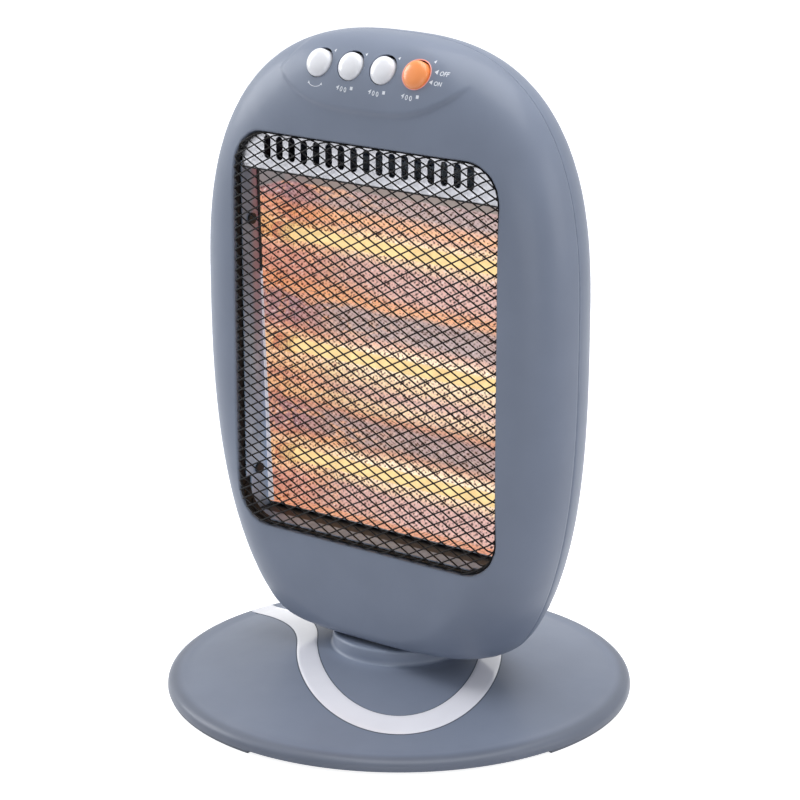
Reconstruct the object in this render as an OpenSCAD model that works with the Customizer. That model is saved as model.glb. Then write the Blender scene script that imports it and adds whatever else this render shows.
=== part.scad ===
// Halogen heater: a pillow-shaped head with three glowing tubes behind a wire guard,
// swinging on a round base with a pale inlaid strip.
// Millimetres. +Z is up, the head faces -Y at rest, and the origin is the centre of the
// base on the floor. The head rests near one end of its swing, so the base, with its
// strip and its swing gear, is turned by rest_turn under it.

/* [Overall] */
// Height of the whole heater
total_h = 481; // [440:1:560]
// Width of the head at its widest
head_w = 313; // [296:1:330]
// Diameter of the round base
base_d = 340; // [310:1:400]
// Turn of the base's front from the way the head faces at rest, degrees
rest_turn = 37.6; // [30:0.1:40]

/* [Head shells] */
// Height of the head's flat underside
head_bottom = 43; // [43:0.5:46]
// Height at which the head is widest
head_mid = 292; // [270:1:310]
// How far below its widest height the outline would close if the underside weren't flat
low_reach = 282; // [270:1:300]
// Squareness of the outline's upper half, as a superellipse power
top_power = 2.65; // [2.4:0.05:3]
// Squareness of the outline's lower half, as a superellipse power
low_power = 2.7; // [2.5:0.05:3]
// Distance of the front face ahead of the swing axis
face_y = 44.3; // [42:0.1:50]
// Distance of the seam ahead of the swing axis at the widest height
seam_y = 4; // [2:0.5:8]
// How far the seam runs back 200 mm above or below the widest height
seam_bow = 5; // [0:0.5:8]
// Distance of the flat back behind the swing axis
back_y = 48; // [46:0.5:60]
// Width of the rounded shoulder between the seam and the face, at the sides
side_shoulder = 38; // [34:1:40]
// Width of the same shoulder at the top
top_shoulder = 66; // [50:1:68]
// Power of the shoulder's curve, where 1 is a quarter ellipse
shoulder_power = 1.3; // [1:0.05:1.5]
// Width of the rounding between the seam and the back
back_shoulder = 66; // [50:1:70]
// Softness of the corner where the outline meets the flat underside
corner_soft = 5; // [3:0.5:8]
// Thickness of the moulded shells
wall = 2.5; // [2:0.1:3.5]

/* [Guard opening] */
// Width of the opening in the front shell
open_w = 231; // [210:1:236]
// Height of the opening's lower edge
open_low = 114.8; // [110:0.2:120]
// Height of the opening's upper edge
open_high = 407; // [395:0.5:410]
// Radius of the opening's corners
open_r = 28; // [20:1:34]
// Depth of the lip that turns in around the opening
lip_depth = 10; // [8:0.5:14]
// Thickness of that lip
lip_wall = 2; // [1.5:0.1:3]
// Columns of gaps in the guard's net
net_cols = 9; // [6:1:9]
// Rows of gaps in the guard's net
net_rows = 16; // [10:1:16]
// Width of the net's strands
net_strand = 2; // [1.4:0.1:3]

/* [Heating unit] */
// Number of slots in the vent panel
slot_count = 17; // [9:2:19]
// Spacing of those slots
slot_pitch = 11.1; // [10:0.1:11.5]
// Width of a slot
slot_w = 6; // [4:0.1:7]
// Height of a slot
slot_h = 17; // [12:0.5:20]
// Height of the middle tube
lamp_mid = 241; // [235:1:247]
// Spacing of the three tubes
lamp_pitch = 84; // [78:1:86]
// Radius of a quartz tube
lamp_r = 5; // [4:0.1:6]
// Thickness of the reflector and steel sheets
sheet = 1; // [0.8:0.1:1.4]
// Distance of the reflector's front edges ahead of the swing axis
reflector_front = 11; // [8:0.5:16]
// Distance of the reflector's troughs behind the swing axis
reflector_back = 20; // [16:0.5:22]
// Radius of a reflector trough
trough_r = 62; // [58:1:80]

/* [Switches] */
// Spacing of the four rocker buttons
switch_pitch = 27.9; // [26:0.1:29]
// Height of the row of buttons
switch_z = 460.5; // [456:0.5:464]
// Lean of the buttons' faces back from upright, degrees
switch_lean = 29; // [24:1:34]
// Radius of a button's cap
cap_r = 10; // [8:0.1:11]
// Gap between a cap and its hole
cap_gap = 1.2; // [1:0.1:1.4]
// Tilt of a pressed rocker either way, degrees
rocker_tilt = 7; // [4:0.5:8]
// How far the panel around the buttons stands proud
pad_raise = 2; // [1:0.25:3]
// Half width of that panel
pad_half = 79; // [74:1:84]

/* [Base] */
// Height of the base's neck, which carries the head
neck_h = 42; // [41.5:0.5:42.4]
// Radius of the neck
neck_r = 48.5; // [46:0.5:52]
// Height at which the neck meets the domed cover
dome_h = 31; // [30:0.5:33]
// Height of the cover's rounded rim
rim_h = 11; // [9:0.5:14]
// Width of the rounding at the rim
rim_round = 15; // [10:0.5:18]
// Thickness of the base cover
base_wall = 2.5; // [2:0.1:3]
// Height of the base cover's lower edge, which the feet hold off the floor
foot_h = 2.5; // [2:0.1:4]
// Half width of the pale strip's loop, outside
strip_half = 75; // [68:0.5:80]
// Length of the loop ahead of the axis, outside
strip_front = 134; // [120:1:138]
// Width of the strip at its sides
strip_w = 14.5; // [10:0.5:18]
// Width of the strip at its front
strip_front_w = 22; // [16:0.5:26]
// How far the strip stands proud of the cover
strip_rise = 0.6; // [0.3:0.1:1.2]

/* [Swing gear] */
// Radius of the hub's spigot, which turns in the neck
hub_r = 20; // [16:0.5:22]
// Running gap between the hub and its bore
hub_gap = 0.05; // [0.02:0.01:0.1]
// Swing of the head to either side, degrees
swing = 40; // [38:1:45]
// Distance of the lug's pin from the swing axis
lug_r = 14; // [12:0.5:15]
// Distance of the motor's axis from the swing axis
motor_x = 42; // [40:0.5:44]
// Radius of the swing motor
motor_r = 24.5; // [20:0.5:25]
// Clearance left between parts that move past each other
clear = 0.3; // [0.2:0.05:0.5]

/* [Hidden] */
outline_n = 72;
shoulder_n = 6;
smooth = 64;
corner_sides = 48;
boss_sides = 18;
slot_sides = 12;
wire_sides = 10;
screw_sides = 24;
grow_top = top_shoulder / side_shoulder;
floor_rise = [1.5, 3];

// Opening, guard and the box of sheets behind it
open_mid = (open_low + open_high) / 2;
open_height = open_high - open_low;
guard_gap = 0.3;
guard_band = 1.2;
guard_y = face_y - 2;
guard_depth = 10;
guard_t = 1;
guard_back = guard_y - guard_depth - guard_gap;
box_half = open_w / 2 - guard_gap - guard_band - guard_gap;
box_low = open_low + guard_gap + guard_band + guard_gap;
wall_front = guard_y - guard_depth / 2;
wall_top = open_high - 25;
wall_back = 28.5;
corner_reach = open_r + 3;
shield_y = wall_back + sheet + 0.2;
flange_w = 11;
flange_z = [165, 368];
flange_slope = 22;
shield_screw_x = box_half + 5;
shield_screw_z = [200, 300];
vent_y = 37;
vent_low = open_high - 29;
slot_mid = open_high - 12;
panel_half = box_half - sheet - guard_gap;
lamp_heights = [lamp_mid + lamp_pitch, lamp_mid, lamp_mid - lamp_pitch];
lamp_half = 95;
end_cap_r = 6.5;
end_cap_out = box_half + 10;
holder_w = 18;
holder_t = 8;
side_screw_places = [[-28, 338.5], [-24, 149]];
side_screw_head_r = 4;
side_screw_head_t = 2;
side_screw_in = 8;

// Bosses and screws of the head's shells
boss_angles = [0, 40, 140, 180, 222, 318];
boss_inset = 15;
boss_r = 5;
boss_gap = 1.5;
screw_r = 1.5;
screw_head_r = 3.2;
screw_head_t = 2;
seat_y = 13.5;
rear_boss_y = 5.5;
screw_reach = 24;
rear_slot_x = [-65:10:65];
rear_slots = [[330, 370], [150, 180]];
rear_slot_r = 2;

// Switches
switch_cavity = 10;
switch_depth = 22;
switch_top = 6.4;
switch_wall = 2;
pivot_depth = 7.5;
pivot_r = 1.2;
pivot_out = 2;
dome_rise = 3.4;
terminal_h = 7;
rest_tilts = [rocker_tilt, rocker_tilt, rocker_tilt, rocker_tilt];

// Base
base_r = base_d / 2;
plate_t = 2;
plate_top = foot_h + plate_t;
plate_r = base_r - base_wall - 1.5;
base_post_r = base_r - 35;
base_post_w = 4;
base_screw_angles = [0, 60, 120, 180, 240, 300];
foot_starts = [-167, -48, 13, 132];
foot_turn = 35;
foot_w = 9;
foot_out = base_r - 5;
inlet_r = 3.2;
inlet_z = foot_h + inlet_r + 0.6;
inlet_in = base_r - rim_round;
strip_flare = 5;
strip_flare_r = [175, 185];
strip_sink = 1.2;
tip_x = -60;
tip_y = 20;
plunger_r = 2.5;
tip_travel = 5;
tip_boss_h = 1;
collar_z = plate_top + tip_boss_h + tip_travel + clear;
collar_t = 1.2;
tip_spring_h = 5;
tip_switch_z = collar_z + collar_t + tip_spring_h;
tip_switch_size = [20, 10, 5.5];

// Neck and hub
washer_t = 1;
bearing_r = neck_r - 14.5;
hub_floor = neck_h + washer_t + clear;
hub_seat = head_bottom + wall + 1;
flange_low = hub_seat + 0.1;
flange_t = 3;
hub_flange_r = 41;
hub_screw_angles = [0, 45, 135, 180, 225, 315];
hub_screw_at = 38;
hub_screw_head_r = 2.6;
hub_screw_head_t = 1.8;
neck_plate = 3;
bore_h = 10;
spigot_low = 27;
spigot_wall = 4;
clip_t = 1.5;
clip_z = neck_h - bore_h - clear - clip_t;

// Swing gear; angles and places are in the base's own directions
lug_t = 3;
gear_pin_r = 2;
motor_top = plate_top + 12;
motor_ear = 8;
motor_screw_y = motor_r - 2;
shaft_r = 3;
crank_r = lug_r * sin(swing);
crank_z = motor_top + 1;
crank_t = 3;
link_z = crank_z + crank_t + clear;
link_t = 2.5;
link_w = 5;
lug_pin_low = link_z + link_t + clear;
crank_turn = 180 / (2 * swing);
rest_crank = (swing - rest_turn) * crank_turn;
lug_angle = -90 - rest_turn;
lug_at = lug_r * [cos(lug_angle), sin(lug_angle)];
crank_angle = 180 + rest_crank;
pin_at = [motor_x, 0] + crank_r * [cos(crank_angle), sin(crank_angle)];
link_vec = lug_at - pin_at;

// Wiring
base_wire_z = 9;
mains_r = 2;
wire_y = shield_y + sheet + 4.5;
block_z = 128;
block_size = [40, 9, 12];
cutout_z = 345;
cutout_r = 8;

// Helpers

function signed_power(x, p) = sign(x) * pow(abs(x), p);

// Height eased so that it never falls below a floor
function soft_floor(z, low) = low + corner_soft * ln(1 + exp((z - low) / corner_soft));

// A point of the head's outline, t degrees round, drawn in by inset
function outline_point(t, inset, grow) =
    let (up = sin(t) >= 0,
        power = 2 / (up ? top_power : low_power),
        reach = up ? total_h - head_mid : low_reach,
        in_by = inset * (1 + (up ? (grow - 1) * pow(sin(t), 2) : 0)))
    [(head_w / 2 - in_by) * signed_power(cos(t), power),
        head_mid + (reach - in_by) * signed_power(sin(t), power)];

function bow(z) = seam_bow * pow((z - head_mid) / 200, 2);

// A ring of the head's skin: inset from the outline, y ahead or behind, share of the bow
function skin_ring(inset, y, bow_share, raise, grow) =
    [for (i = [0:outline_n - 1])
        let (p = outline_point(360 * i / outline_n, inset, grow),
            z = soft_floor(p[1], head_bottom + raise))
        [p[0], y + bow_share * bow(z), z]];

// Rings of the front skin, from the seam to the face, for a wall drawn in by thick
function front_rings(thick) =
    [for (k = [0:shoulder_n])
        let (a = 90 * k / shoulder_n,
            inset = side_shoulder * pow(1 - cos(a), shoulder_power))
        skin_ring(thick + inset, -seam_y - (face_y - seam_y - thick) * sin(a), cos(a),
            thick + floor_rise[0] * (1 - cos(a)),
            thick == 0 ? grow_top : 1 + (grow_top - 1) * inset / (thick + inset))];

// Rings of the rear skin, from the back to the seam
function rear_rings(thick) =
    [for (k = [shoulder_n:-1:0])
        let (a = 90 * k / shoulder_n)
        skin_ring(thick + back_shoulder * (1 - cos(a)), -seam_y + (back_y + seam_y - thick) * sin(a),
            cos(a), thick + floor_rise[1] * (1 - cos(a)), 1)];

function ring_centre(ring) = [0, ring[0][1], head_mid];

// A closed skin over rings that run from the back to the front
module loft(rings) {
    count = len(rings);
    n = outline_n;
    points = concat([for (ring = rings) each ring],
        [ring_centre(rings[0])], [ring_centre(rings[count - 1])]);
    sides = [for (k = [0:count - 2], i = [0:n - 1])
        let (j = (i + 1) % n, a = k * n + i, b = k * n + j)
        each [[a, a + n, b + n], [a, b + n, b]]];
    caps = [for (i = [0:n - 1])
        let (j = (i + 1) % n)
        each [[count * n, i, j], [count * n + 1, (count - 1) * n + j, (count - 1) * n + i]]];
    polyhedron(points, concat(sides, caps), convexity = 6);
}

// The same skin drawn in by the wall and run on past the seam, to hollow out a shell
module front_hollow() {
    rings = front_rings(wall);
    loft(concat([[for (p = rings[0]) [p[0], back_y, p[2]]]], rings));
}

module rear_hollow() {
    rings = rear_rings(wall);
    loft(concat(rings, [[for (p = rings[len(rings) - 1]) [p[0], -face_y, p[2]]]]));
}

// A rectangle with round corners, centred
module round_rect(w, h, r) {
    square([w - 2 * r, h], center = true);
    square([w, h - 2 * r], center = true);
    for (x = [-1, 1], y = [-1, 1])
        translate([x * (w / 2 - r), y * (h / 2 - r)]) circle(r = r, $fn = corner_sides);
}

// Draws a flat shape upright, facing -Y, from y = near back to y = far
module upright(near, far) {
    translate([0, far, 0]) rotate([90, 0, 0]) linear_extrude(far - near) children();
}

module opening_shape(grow) {
    translate([0, open_mid]) round_rect(open_w + 2 * grow, open_height + 2 * grow, open_r + grow);
}

// A cylinder along Y from y = near to y = far
module rod_y(near, far, r, sides = smooth) {
    translate([0, far, 0]) rotate([90, 0, 0]) cylinder(r = r, h = far - near, $fn = sides);
}

// A cylinder along X from x = near to x = far
module rod_x(near, far, r, sides = smooth) {
    translate([near, 0, 0]) rotate([0, 90, 0]) cylinder(r = r, h = far - near, $fn = sides);
}

// A run of round wire through a list of points, mitred at its bends
function unit(v) = v / norm(v);
function heading(points, i) = unit(
    (i > 0 ? unit(points[i] - points[i - 1]) : [0, 0, 0]) +
    (i < len(points) - 1 ? unit(points[i + 1] - points[i]) : [0, 0, 0]));

module wire(points, r) {
    n = wire_sides;
    count = len(points);
    rings = [for (i = [0:count - 1])
        let (d = heading(points, i), across = unit(cross(d, [1, 0, 0])), up = cross(across, d))
        each [for (k = [0:n - 1]) points[i] + r * (cos(360 * k / n) * across + sin(360 * k / n) * up)]];
    sides = [for (i = [0:count - 2], k = [0:n - 1])
        let (a = i * n + k, b = i * n + (k + 1) % n)
        each [[a, b, b + n], [a, b + n, a + n]]];
    polyhedron(rings, concat([[for (k = [n - 1:-1:0]) k]], sides,
        [[for (k = [0:n - 1]) (count - 1) * n + k]]), convexity = 4);
}

module in_base() rotate([0, 0, rest_turn]) children();

// Height of the base cover's top at a radius
function cover_z(r) = rim_h + (dome_h - rim_h) * (base_r - rim_round - r) / (base_r - rim_round - neck_r);

// Outline of the base cover's top from the neck out to the rim, drawn in by t
function cover_profile(t) = concat(
    [[neck_r, cover_z(neck_r) - t]],
    [for (a = [90:-15:0])
        [base_r - rim_round + (rim_round - t) * cos(a), foot_h + (rim_h - foot_h - t) * sin(a)]]);

// Base

module base_cover() {
    color("lightslategray") in_base() difference() {
        union() {
            rotate_extrude($fn = 128) polygon(concat(
                [[hub_r, neck_h], [neck_r - 2, neck_h], [neck_r, neck_h - 2], [neck_r, dome_h + 2],
                    [neck_r + 2, cover_z(neck_r + 2)]],
                [for (p = cover_profile(0)) if (p[0] > neck_r + 2) p],
                [for (i = [len(cover_profile(0)) - 1:-1:1]) cover_profile(base_wall)[i]],
                [[neck_r - base_wall, dome_h - base_wall], [neck_r - base_wall, neck_h - neck_plate],
                    [hub_r + 3, neck_h - neck_plate], [hub_r + 3, neck_h - bore_h],
                    [hub_r, neck_h - bore_h]]));
            base_posts(plate_top + 0.1);
        }
        strip_solid(5, strip_sink);
        translate([0, 0, inlet_z]) {
            rod_y(inlet_in - 3, base_r + 5, inlet_r + 0.1);
            rod_y(inlet_in - 3, inlet_in + 1.2, inlet_r + 0.5);
        }
        at_base_screws() cylinder(r = screw_r + 0.1, h = post_top(base_post_r) - 2, $fn = screw_sides);
    }
}

function post_top(r) = cover_z(r) - base_wall / 2;

module at_base_screws() {
    for (a = base_screw_angles) rotate(a) translate([base_post_r, 0, 0]) children();
}

module base_posts(low) {
    at_base_screws() translate([0, 0, low])
        cylinder(r = base_post_w, h = post_top(base_post_r + base_post_w) - low, $fn = 32);
}

// Floor of the base, with the tip-over plunger's guide, its switch's bracket and a notch
// for the cord's inlet
module base_plate() {
    color("dimgray") in_base() difference() {
        union() {
            translate([0, 0, foot_h]) cylinder(r = plate_r, h = plate_t, $fn = 128);
            translate([tip_x, tip_y, plate_top - 0.1])
                cylinder(r = plunger_r + 2.5, h = tip_boss_h + 0.1, $fn = 48);
            translate([tip_x - tip_switch_size[0] / 2, tip_y - tip_switch_size[1] / 2 - 3, plate_top - 0.1])
                cube([tip_switch_size[0], 3, tip_switch_z + tip_switch_size[2] - plate_top + 0.1]);
        }
        translate([tip_x, tip_y, 0]) cylinder(r = plunger_r + hub_gap, h = 40, $fn = 48);
        at_base_screws() cylinder(r = screw_r + 0.1, h = plate_top + 1, $fn = screw_sides);
        at_motor_screws() cylinder(r = screw_r + 0.1, h = plate_top + 1, $fn = screw_sides);
        translate([-inlet_r - 0.8, inlet_in - 3, 0]) cube([2 * (inlet_r + 0.8), 30, plate_top + 1]);
    }
}

// Four curved feet under the rim, clear of the middle of the front and of the back
module base_feet() {
    color("dimgray") in_base() for (a = foot_starts)
        rotate(a) rotate_extrude(angle = foot_turn, $fn = 128)
            translate([foot_out - foot_w, 0]) square([foot_w, foot_h]);
}

module base_screws() {
    color("silver") in_base() at_base_screws() {
        translate([0, 0, foot_h - 1.6]) cylinder(r = screw_head_r, h = 1.6, $fn = 32);
        translate([0, 0, foot_h]) cylinder(r = screw_r, h = 7, $fn = screw_sides);
    }
}

// Half of the strip's outline: an ellipse at the front, an arc that flares to the rear rim
function strip_edge(half, front, flare_from, flare_r) = concat(
    [for (a = [-90:7.5:0])
        [half * cos(a), flare_from - strip_flare + (front + flare_from - strip_flare) * sin(a)]],
    [for (a = [0:6:72]) [half + flare_r * (1 - cos(a)), flare_from + flare_r * sin(a)]]);

function mirrored(points) =
    concat(points, [for (i = [len(points) - 1:-1:0]) [-points[i][0], points[i][1]]]);

module strip_plan() {
    difference() {
        polygon(mirrored(strip_edge(strip_half, strip_front, strip_flare, strip_flare_r[0])));
        polygon(mirrored(strip_edge(strip_half - strip_w, strip_front - strip_front_w,
            3 * strip_flare, strip_flare_r[1])));
    }
}

function strip_line() = [[neck_r + 4, cover_z(neck_r + 4)], [base_r - rim_round, rim_h],
    [base_r - rim_round / 2, rim_h - 1.1]];

// The strip's layer of the cover's top, from sink below the surface to rise above it
module strip_solid(rise, sink) {
    line = strip_line();
    intersection() {
        linear_extrude(2 * dome_h) strip_plan();
        rotate_extrude($fn = 128) polygon(concat(
            [for (p = line) p + [0, rise]],
            [for (i = [len(line) - 1:-1:0]) line[i] - [0, sink]]));
    }
}

module base_strip() {
    color("lavender") in_base() strip_solid(strip_rise, strip_sink);
}

module cord_inlet() {
    color("black") in_base() translate([0, 0, inlet_z]) difference() {
        union() {
            rod_y(inlet_in + 1, base_r - 1, inlet_r);
            rod_y(inlet_in - 1, inlet_in + 1, inlet_r + 0.4);
        }
        rod_y(inlet_in - 2, base_r, inlet_r - 1);
    }
}

// Rod that the floor holds up and that drops when the heater tips, with its spring's collar
module tip_plunger() {
    color("ivory") in_base() translate([tip_x, tip_y, 0]) {
        cylinder(r = plunger_r, h = tip_switch_z - clear, $fn = 48);
        translate([0, 0, collar_z]) cylinder(r = plunger_r + 1.5, h = collar_t, $fn = 48);
    }
}

module tip_spring() {
    color("silver") in_base() translate([tip_x, tip_y, collar_z + collar_t]) difference() {
        cylinder(r = plunger_r + 1.2, h = tip_spring_h, $fn = 48);
        cylinder(r = plunger_r + 0.4, h = tip_spring_h, $fn = 48);
    }
}

module tip_switch() {
    color("black") in_base()
        translate([tip_x - tip_switch_size[0] / 2, tip_y - tip_switch_size[1] / 2, tip_switch_z])
            cube(tip_switch_size);
}

module base_wires() {
    lead_x = tip_x + 4;
    color("white") in_base() {
        wire([[0, 0, spigot_low - 6], [0, 0, base_wire_z], [0, 60, base_wire_z],
            [0, inlet_in - 8, inlet_z]], mains_r);
        wire([[0, 50, base_wire_z], [lead_x, tip_y + 18, tip_switch_z],
            [lead_x, tip_y + tip_switch_size[1] / 2 + 0.3, tip_switch_z + 3]], 1.2);
    }
}

// Neck and swing gear

module bearing_washer() {
    color("ivory") translate([0, 0, neck_h]) difference() {
        cylinder(r = bearing_r, h = washer_t, $fn = 96);
        translate([0, 0, -1]) cylinder(r = hub_r + 1, h = washer_t + 2, $fn = 96);
    }
}

module at_hub_screws() {
    for (a = hub_screw_angles) rotate(a) translate([hub_screw_at, 0, 0]) children();
}

// Flanged spigot that carries the head and turns in the neck's bore
module swivel_hub() {
    color("gray") difference() {
        union() {
            translate([0, 0, spigot_low])
                cylinder(r = hub_r - hub_gap, h = flange_low - spigot_low, $fn = 96);
            translate([0, 0, hub_floor]) cylinder(r = bearing_r, h = flange_low - hub_floor, $fn = 96);
            translate([0, 0, flange_low]) cylinder(r = hub_flange_r, h = flange_t, $fn = 96);
        }
        translate([0, 0, spigot_low - 1]) cylinder(r = hub_r - spigot_wall, h = 60, $fn = 96);
        translate([0, 0, clip_z - 0.1]) difference() {
            cylinder(r = hub_r + 1, h = clip_t + 0.2, $fn = 96);
            translate([0, 0, -1]) cylinder(r = hub_r - 1.6, h = clip_t + 3, $fn = 96);
        }
        at_hub_screws() cylinder(r = screw_r + 0.1, h = 80, $fn = screw_sides);
    }
}

// Ring in the hub's groove, which keeps the head from lifting off the neck
module hub_clip() {
    color("silver") translate([0, 0, clip_z]) difference() {
        cylinder(r = hub_r + 4, h = clip_t, $fn = 96);
        translate([0, 0, -1]) cylinder(r = hub_r - 1.5, h = clip_t + 2, $fn = 96);
    }
}

// Plate across the spigot's foot, with the pin that the link pulls; it faces -Y at rest
module swing_lug() {
    pin_top = spigot_low - lug_t + 1;
    color("silver") difference() {
        union() {
            translate([0, 0, spigot_low - lug_t]) cylinder(r = hub_r - 0.5, h = lug_t, $fn = 96);
            translate([0, -lug_r, lug_pin_low])
                cylinder(r = gear_pin_r, h = pin_top - lug_pin_low, $fn = 32);
        }
        translate([0, 0, spigot_low - lug_t - 1]) cylinder(r = 6, h = lug_t + 2, $fn = 48);
    }
}

module hub_screws() {
    shank_low = head_bottom + 0.4;
    color("silver") at_hub_screws() {
        translate([0, 0, flange_low + flange_t])
            cylinder(r = hub_screw_head_r, h = hub_screw_head_t, $fn = 32);
        translate([0, 0, shank_low])
            cylinder(r = screw_r, h = flange_low + flange_t - shank_low, $fn = screw_sides);
    }
}

module at_motor_screws() {
    for (s = [-1, 1]) translate([motor_x, s * motor_screw_y, 0]) children();
}

module swing_motor() {
    color("silver") in_base() difference() {
        union() {
            translate([motor_x, 0, plate_top]) cylinder(r = motor_r, h = motor_top - plate_top, $fn = 96);
            for (s = [-1, 1]) translate([motor_x - motor_ear / 2,
                s * motor_screw_y - motor_ear / 2, plate_top]) cube([motor_ear, motor_ear, 1.5]);
        }
        translate([motor_x, 0, plate_top + 3]) cylinder(r = shaft_r + hub_gap, h = 40, $fn = 48);
        at_motor_screws() cylinder(r = screw_r + 0.1, h = 40, $fn = screw_sides);
    }
}

module motor_screws() {
    color("silver") in_base() at_motor_screws() {
        translate([0, 0, foot_h - 1.6]) cylinder(r = screw_head_r, h = 1.6, $fn = 32);
        translate([0, 0, foot_h - 1]) cylinder(r = screw_r, h = 9, $fn = screw_sides);
    }
}

// Crank on the motor's shaft; its pin carries the link
module motor_shaft() {
    color("ivory") in_base() translate([motor_x, 0, 0]) {
        translate([0, 0, plate_top + 3.3])
            cylinder(r = shaft_r, h = crank_z - plate_top - 3.3 + 0.5, $fn = 48);
        translate([0, 0, crank_z]) cylinder(r = crank_r + 4, h = crank_t, $fn = 64);
        rotate(crank_angle) translate([crank_r, 0, crank_z + 1])
            cylinder(r = gear_pin_r, h = link_z + link_t + 0.1 - crank_z - 1, $fn = 48);
    }
}

module crank_link() {
    reach = norm(link_vec);
    color("silver") in_base() translate([pin_at[0], pin_at[1], link_z])
        rotate(atan2(link_vec[1], link_vec[0])) difference() {
            union() {
                for (x = [0, reach]) translate([x, 0, 0])
                    cylinder(r = gear_pin_r + 2, h = link_t, $fn = 48);
                translate([0, -link_w / 2, 0]) cube([reach, link_w, link_t]);
            }
            translate([0, 0, -1]) cylinder(r = gear_pin_r + hub_gap, h = link_t + 2, $fn = 48);
            translate([reach, 0, -1]) cylinder(r = gear_pin_r + clear, h = link_t + 2, $fn = 48);
        }
}

// Head shells

// Depth of the head's surface above the opening, at height z in the middle
function shoulder_angle(z) = acos(1 - pow((total_h - z) / top_shoulder, 1 / shoulder_power));
function shoulder_y(z) = let (a = shoulder_angle(z))
    -seam_y + bow(z) * cos(a) - (face_y - seam_y) * sin(a);
switch_y = shoulder_y(switch_z) - pad_raise;
function pad_edge(x) = switch_z - 30.5 + 22 * pow(abs(x) / pad_half, 3);

// The raised crescent around the buttons
module switch_pad() {
    intersection() {
        translate([0, -pad_raise, 0]) loft(front_rings(0));
        upright(-face_y - 10, -seam_y - 8) polygon(concat(
            [for (i = [-10:10]) [i * pad_half / 10, pad_edge(i * pad_half / 10)]],
            [[pad_half - 24, total_h + 5], [-pad_half + 24, total_h + 5]]));
    }
}

// Puts children on the button row: local z points out of the panel, local y up it
module at_switch(i) {
    translate([(i - 1.5) * switch_pitch, switch_y, switch_z]) rotate([90 - switch_lean, 0, 0]) children();
}

function boss_at(t) = outline_point(t, boss_inset, 1);

module boss_columns(near, far, r) {
    for (t = boss_angles) translate([boss_at(t)[0], 0, boss_at(t)[1]]) rod_y(near, far, r, boss_sides);
}

// Lugs behind the face that take the side walls' screws
module side_lugs() {
    for (s = [-1, 1], p = side_screw_places)
        translate([s > 0 ? box_half + 0.3 : -box_half - 12.3, -face_y + 1, p[1] - 6])
            cube([12, face_y - 1 + p[0] + 7, 12]);
}

// Flat ring in the head's underside that the hub's flange is screwed to
module hub_ring() {
    translate([0, 0, head_bottom + 0.5])
        cylinder(r = hub_flange_r + 1.5, h = hub_seat - head_bottom - 0.5, $fn = smooth);
}

module hub_hole() {
    cylinder(r = bearing_r + 0.4, h = hub_seat + 1, $fn = smooth);
    translate([0, 0, hub_seat]) cylinder(r = hub_flange_r + clear, h = 12, $fn = smooth);
    at_hub_screws() cylinder(r = screw_r + 0.1, h = hub_seat + 1, $fn = slot_sides);
}

module front_shell() {
    color("lightslategray") difference() {
        union() {
            difference() {
                union() {
                    loft(front_rings(0));
                    switch_pad();
                }
                front_hollow();
            }
            intersection() {
                union() {
                    upright(-face_y, -face_y + lip_depth) opening_shape(lip_wall);
                    boss_columns(-face_y, -seam_y - boss_gap, boss_r);
                    side_lugs();
                    hub_ring();
                }
                translate([0, -0.2, 0]) loft(front_rings(0.6));
            }
        }
        upright(-face_y - 10, 0) opening_shape(0);
        boss_columns(-30, 10, screw_r + 0.1);
        for (i = [0:3]) at_switch(i) {
            translate([0, 0, -switch_depth]) hull() {
                cylinder(r = cap_r + cap_gap, h = 1, $fn = 36);
                translate([0, 0, switch_depth + 8]) cylinder(r = cap_r + cap_gap, h = 1, $fn = 36);
            }
            translate([0, 0, -switch_depth]) cylinder(r = cap_r + cap_gap + switch_wall + 0.2,
                h = switch_depth - switch_top + 0.1, $fn = 36);
        }
        for (s = [-1, 1], p = side_screw_places) translate([0, p[0], p[1]]) hull() {
            rod_x(s * 110 - 5, s * 110 + 4, screw_r + 0.1, slot_sides);
            rod_x(s * 120 - 2, s * 120 + 2, screw_r + 0.1, slot_sides);
        }
        hub_hole();
    }
}

module rear_shell() {
    color("lightslategray") difference() {
        union() {
            difference() {
                loft(rear_rings(0));
                rear_hollow();
            }
            intersection() {
                union() {
                    boss_columns(rear_boss_y, back_y, boss_r);
                    hub_ring();
                }
                translate([0, 0.2, 0]) loft(rear_rings(0.6));
            }
        }
        boss_columns(-20, back_y - 8, screw_r + 0.1);
        boss_columns(seat_y, back_y + 1, screw_head_r + 0.6);
        for (x = rear_slot_x, z = rear_slots) translate([x, 0, 0]) hull() {
            translate([0, 0, z[0]]) rod_y(20, back_y + 5, rear_slot_r, slot_sides);
            translate([0, 0, z[1]]) rod_y(20, back_y + 5, rear_slot_r, slot_sides);
        }
        hub_hole();
    }
}

module shell_screws() {
    color("silver") for (t = boss_angles) translate([boss_at(t)[0], 0, boss_at(t)[1]]) {
        rod_y(-screw_reach, seat_y + 0.5, screw_r);
        rod_y(seat_y, seat_y + screw_head_t, screw_head_r);
    }
}

// Guard

function net_gaps() = let (w = open_w - 2 * guard_gap, cx = w / net_cols,
    cz = (open_height - 2 * guard_gap) / net_rows, z0 = open_low + guard_gap)
    concat(
        [for (i = [0:net_cols - 1], j = [0:net_rows - 1])
            [-w / 2 + (i + 0.5) * cx, z0 + (j + 0.5) * cz, cx, cz]],
        [for (i = [1:net_cols - 1], j = [1:net_rows - 1])
            [-w / 2 + i * cx, z0 + j * cz, cx, cz]]);

module guard_net() {
    color("black") upright(-guard_y, -guard_y + guard_t) difference() {
        opening_shape(-guard_gap - guard_band);
        intersection() {
            opening_shape(-guard_gap - guard_band - 2);
            for (g = net_gaps())
                polygon([for (a = [0:90:270]) [g[0] + (g[2] / 2 - net_strand) * cos(a),
                    g[1] + (g[3] / 2 - net_strand * 0.7) * sin(a)]]);
        }
    }
}

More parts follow.
